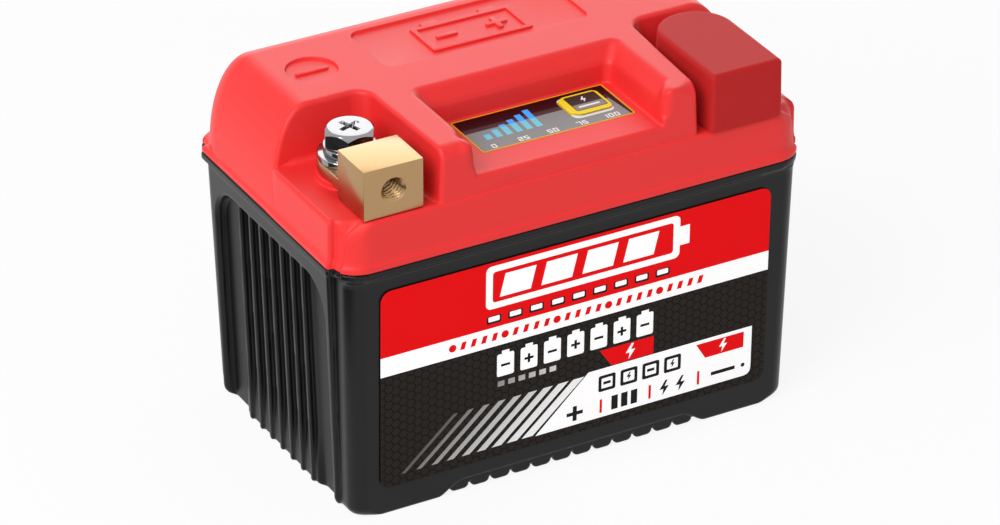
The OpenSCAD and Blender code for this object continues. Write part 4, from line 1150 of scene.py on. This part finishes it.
sunk_floor = add(tree, "Math", {"operation": "MULTIPLY"}, {0: deep.outputs[0], 1: across.outputs[0]})
gloss = add(tree, "MapRange", {"To Min": 0.26, "To Max": 0.14}, {"Value": sunk_floor.outputs[0]})
tree.links.new(gloss.outputs[0], shader.inputs["Specular IOR Level"])
print("end faces reach", round(END_X / MM, 2), "mm at the floor's height")

# %% [markdown]
# ## Metals
# The blocks are sawn and milled brass with fine tool lines. The screws and washers are nickel plated and
# almost mirror bright, so what shows on them is the room: white above, red and brass beside them.

# %% Mix the metals
# slot: name, colour, roughness, grain in mm, its depth in mm, change of roughness, stretch along X
METALS = {"brass": ("milled_brass", "#B39168", 0.28, 0.3, 0.004, 0.025, 0.12),      # fine streaks
          "chrome_steel": ("bright_nickel_plating", "#9A9A9C", 0.09, 1.5, 0.002, 0.02, 1),      # a mirror
          "zinc_steel": ("zinc_plating", "#C4C6C8", 0.3, 0.6, 0.004, 0.05, 1),      # a cool, soft grey
          "copper": ("rolled_copper", "#C98B6B", 0.32, 0.5, 0.004, 0.05, 0.15),     # streaks of rolling
          "cell_can": ("drawn_aluminium", "#C9CBCC", 0.28, 0.8, 0.004, 0.05, 0.1)}  # long drawing lines
for slot_name, (name, code, roughness, size, depth, shift, along) in METALS.items():
    material, tree, shader = new_finish(name, code, roughness, Metallic=1.0)
    grain(tree, shader, size, depth, shift, stretch=(along, 1, 1))
    finishes[slot_name] = material
print("metals:", sorted(METALS))

# %% [markdown]
# ## Printed inks
# The films are polyester with the ink under a satin laminate. All inks share that gloss, and only the
# stripes change along their row: they fade from dark grey to white towards the plate.

# %% Mix the inks
INK_GLOSS, INK_SHEEN = 0.34, 0.08      # roughness and specular level of the laminate
INK_COLOURS = {"label_red": "#F2020A", "label_white": "#FFFFFF", "label_black": "#100D0A",
               "comb": "#26211D", "sign_black": "#1A1A1A", "film_edge": "#F0A81E",
               "film_dark": "#2E060C", "film_mid": "#4C3034", "film_grey": "#8E8E8E",
               "film_white": "#F2F2F2", "film_yellow": "#F7DC1E", "key_dark": "#3A2A28",
               "bar_light": "#3F9BF0", "bar_pale": "#79D2E6"}
# the white ink glows a little as painted light, so that it looks brighter, and the lamps behind the bars are
# lit
LAMP_AND_PAINTED_GLOW = {"label_white": ("#FFFFFF", 0.15), "bar_light": ("#4DA6FF", 0.25)}
inks = {}
for name, code in INK_COLOURS.items():
    material, tree, shader = new_finish(name + "_ink", code, INK_GLOSS, Specular_IOR_Level=INK_SHEEN)
    grain(tree, shader, 0.9, 0.004, 0.02)   # the laminate's faint ripple
    inks[name] = material
    # the glow of the white ink is painted light, and that of the bars comes from their lamps
    if name in LAMP_AND_PAINTED_GLOW:
        shader.inputs["Emission Color"].default_value = linear(LAMP_AND_PAINTED_GLOW[name][0])
        shader.inputs["Emission Strength"].default_value = LAMP_AND_PAINTED_GLOW[name][1]
print("inks:", len(inks))

# %% Mix the fading ink of the stripes
STRIPE_LEAN = 1.1      # the fade leans with the stripes
FADE_START, FADE_END = -54, -22        # where it runs at the floor's height
material, tree, shader = new_finish("fading_stripe_ink", "#FFFFFF", INK_GLOSS, Specular_IOR_Level=INK_SHEEN)
place = add(tree, "TexCoord")
split = add(tree, "SeparateXYZ", {}, {"Vector": place.outputs["Object"]})
along = add(tree, "Math", {"operation": "MULTIPLY", 1: STRIPE_LEAN}, {0: split.outputs["Z"]})
lean = add(tree, "Math", {"operation": "SUBTRACT"}, {0: split.outputs["X"], 1: along.outputs[0]})
span = {"From Min": FADE_START * MM, "From Max": FADE_END * MM}
fade = add(tree, "MapRange", span, {"Value": lean.outputs[0]})
greys = {"data_type": "RGBA", 6: linear("#4A4440"), 7: linear("#FFFFFF")}
grey = add(tree, "Mix", greys, {0: fade.outputs["Result"]})
tree.links.new(grey.outputs[2], shader.inputs["Base Color"])
inks["stripe"] = material
print("the stripes fade over", FADE_END - FADE_START, "mm")

# %% [markdown]
# ## Inside the case
# Cells, boards, leads and foam sit in the closed case and show only in a cutaway. They keep the CAD
# model's shapes, and each gets the finish of its real material: foam, card and rubber are dull, sleeves
# and resin are glossy, and the rest lies between. Their colours are even, and only the grain and the
# gloss vary over each.

# %% Mix the finishes of the inner pieces
# slot: name, colour, roughness and grain in mm
INNER = {"seal_rubber": ("moulded_rubber", "#1B1B1B", 0.7, 0.3),
         "circuit_board": ("green_solder_mask", "#1D6B3A", 0.35, 0.5),
         "led_resin": ("clear_resin", "#EDEBD8", 0.25, 0.5),
         "light_guide": ("acrylic_light_bar", "#7CC4F2", 0.2, 0.6),
         "key_plastic": ("yellow_key_plastic", "#F2D21E", 0.4, 0.4),
         "chip_black": ("moulded_epoxy", "#1C1C1D", 0.55, 0.3),
         "plug_nylon": ("natural_nylon", "#E8E4D6", 0.5, 0.4),
         "sleeve_blue": ("shrink_sleeve", "#2A66A8", 0.32, 1.2),
         "insulator_card": ("fibre_card", "#DDDACF", 0.8, 0.3),
         "holder_black": ("black_holder_abs", "#2A2A2C", 0.5, 0.35),
         "lead_black": ("black_silicone", "#1A1A1A", 0.6, 0.5),
         "lead_red": ("red_silicone", "#B31B1B", 0.55, 0.5),
         "wire_yellow": ("yellow_silicone", "#D9C41E", 0.55, 0.4),
         "ribbon_grey": ("grey_ribbon", "#BDBDBD", 0.55, 0.4),
         "foam_grey": ("closed_cell_foam", "#47474B", 0.9, 0.8),
         "label_film": ("label_backing", "#14120F", 0.5, 0.8),
         "gauge_film": ("gauge_backing", "#3A3A3D", 0.5, 0.8)}
for slot_name, (name, code, roughness, size) in INNER.items():
    material, tree, shader = new_finish(name, code, roughness)
    coarse = roughness >= 0.8      # the foam's cells and the card's fibres
    grain(tree, shader, size, 0.12 if coarse else 0.01, 0.04)
    finishes[slot_name] = material
slots = {part["node"]: part["material_slot"] for part in frame["record"]["subparts"]}
for node, node_object in nodes.items():
    node_object.data.materials.clear()
    node_object.data.materials.append(finishes[slots[node]])
print("finishes:", len(finishes))

# %% [markdown]
# ## Foam pads
# Five sheets of closed-cell foam hold the pack of cells. Each is a copy of its CAD solid with the edges
# rounded.

# %% Cut the foam pads
foams = []
for node in ("foam_bottom", "foam_front", "foam_back", "foam_left", "foam_right"):
    pad = bpy.data.objects.new(node + "_pad", nodes[node].data.copy())
    bpy.context.scene.collection.objects.link(pad)
    pad.data.materials.clear()
    bevelled(pad, 0.35, 3)
    shade(pad, crease=40)
    foams.append((pad, node))
print("foam pads:", len(foams))

# %% [markdown]
# ## Everything rides on its body
# A dressed piece takes the place of its CAD node and moves with that node's body. The key's print rides
# on the key, the cap and each screw on bodies of their own, and both washers of a terminal on one.

# %% Hand over the pieces
def dress(piece, body, slot_name, *replaced, materials=None):
    """Gives a piece its finish and body, and hides the CAD nodes that it stands for."""
    if not materials:
        piece.data.materials.clear()
        piece.data.polygons.foreach_set("material_index", [0] * len(piece.data.polygons))
    for material in materials or [finishes[slot_name]]:
        piece.data.materials.append(material)
    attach(piece, body)
    if replaced:
        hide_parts(*replaced)


dress(cover, "battery", "cover_red", "case_cover")
dress(case, "battery", "case_black", "case_base")
dress(cap, "positive_cap", "cap_red", "pos_terminal_cap")
dress(neg_block, "battery", "brass", "neg_terminal_block")
dress(pos_block, "battery", "brass", "pos_terminal_block")
for key, (screw, flat, spring, seat) in fittings.items():
    dress(screw, key + "_screw", "chrome_steel", key + "_terminal_screw")
    dress(flat, key + "_washers", "chrome_steel", key + "_flat_washer")
    dress(spring, key + "_washers", "chrome_steel", key + "_spring_washer")
    dress(seat, "battery", "brass", key + "_insert")
dress(front_label, "battery", "label_film", "front_label", materials=[inks[i] for i in LABEL_INKS])
dress(gauge_film, "battery", "gauge_film", "gauge_film", materials=[inks[i] for i in GAUGE_INKS])
dress(test_key, "test_key", "key_plastic", materials=[inks[i] for i in KEY_INKS])
for pad, node in foams:
    dress(pad, "battery", "foam_grey", node)

# %% [markdown]
# ## Floor, light and background
# A pale floor takes a soft shadow from one soft lamp at the front left. A wider lamp behind shows only in
# reflections, where it brightens the shoulders. The camera and the reflections see a white room, while
# the light that the room sends about is half as strong, so that shadows keep their depth.

# %% Build the floor
def in_sight(tree):
    """1 for rays from the camera, from a reflection or through a clear body, and 0 for all others."""
    rays = add(tree, "LightPath").outputs
    seen = rays["Is Camera Ray"]
    for kind in ("Is Glossy Ray", "Is Transmission Ray"):
        seen = add(tree, "Math", {"operation": "MAXIMUM"}, {0: seen, 1: rays[kind]}).outputs[0]
    return seen


def level_sheet(name, x0, y0, x1, y1, z):
    """A rectangle at one height."""
    return new_piece(name, [(x0, y0, z), (x1, y0, z), (x1, y1, z), (x0, y1, z)], [(0, 1, 2, 3)])


REACH = 4000           # half side of the floor
FLOOR_WHITE = 0.88     # in sight, this much of it is plain white, and the rest takes the shadow
floor = level_sheet("floor", -REACH, -REACH, REACH, REACH, 0)
material, tree, shader = new_finish("pale_floor", "#FAFAFA", 0.9)
share = add(tree, "Math", {"operation": "MULTIPLY", 1: FLOOR_WHITE}, {0: in_sight(tree)})
white = add(tree, "Emission", {"Strength": 1.0})
mixed = add(tree, "MixShader", {}, {0: share.outputs[0], 1: shader.outputs[0], 2: white.outputs[0]})
tree.links.new(mixed.outputs[0], tree.nodes["Material Output"].inputs["Surface"])
floor.data.materials.append(material)
print("floor:", [round(side, 2) for side in floor.dimensions])

# %% Hang the lamps and lay the dark card
def soft_lamp(name, place, power, size):
    """A square area lamp that looks at the battery."""
    data = bpy.data.lights.new(name, "AREA")
    data.energy, data.size = power, size
    lamp = bpy.data.objects.new(name, data)
    bpy.context.scene.collection.objects.link(lamp)
    lamp.location = place
    lamp.rotation_euler = (MIDDLE - Vector(place)).to_track_quat("-Z", "Y").to_euler()
    return lamp


soft_lamp("key_lamp", (-0.81, -0.36, 0.85), 10.0, 0.8)
soft_lamp("roof_lamp", (0.62, 0.99, 0.68), 12.0, 1.5).visible_diffuse = False

# only reflections see the dark card on the floor: it gives the bright screws their dark side
card = level_sheet("dark_card", -300, -320, -118, 30, 1)
material, tree, shader = new_finish("dark_card", "#101010", 0.9)
card.data.materials.append(material)
card.visible_camera = card.visible_diffuse = card.visible_shadow = card.visible_transmission = False

# %% Paint the world
world = bpy.data.worlds.new("studio")
bpy.context.scene.world = world
world.use_nodes = True
tree = world.node_tree
power = add(tree, "MapRange", {"To Min": 0.5, "To Max": 1.0}, {"Value": in_sight(tree)})
tree.links.new(power.outputs["Result"], tree.nodes["Background"].inputs["Strength"])
tree.nodes["Background"].inputs["Color"].default_value = (1, 1, 1, 1)
bpy.context.scene.view_settings.view_transform = "Standard"
print("world:", world.name)
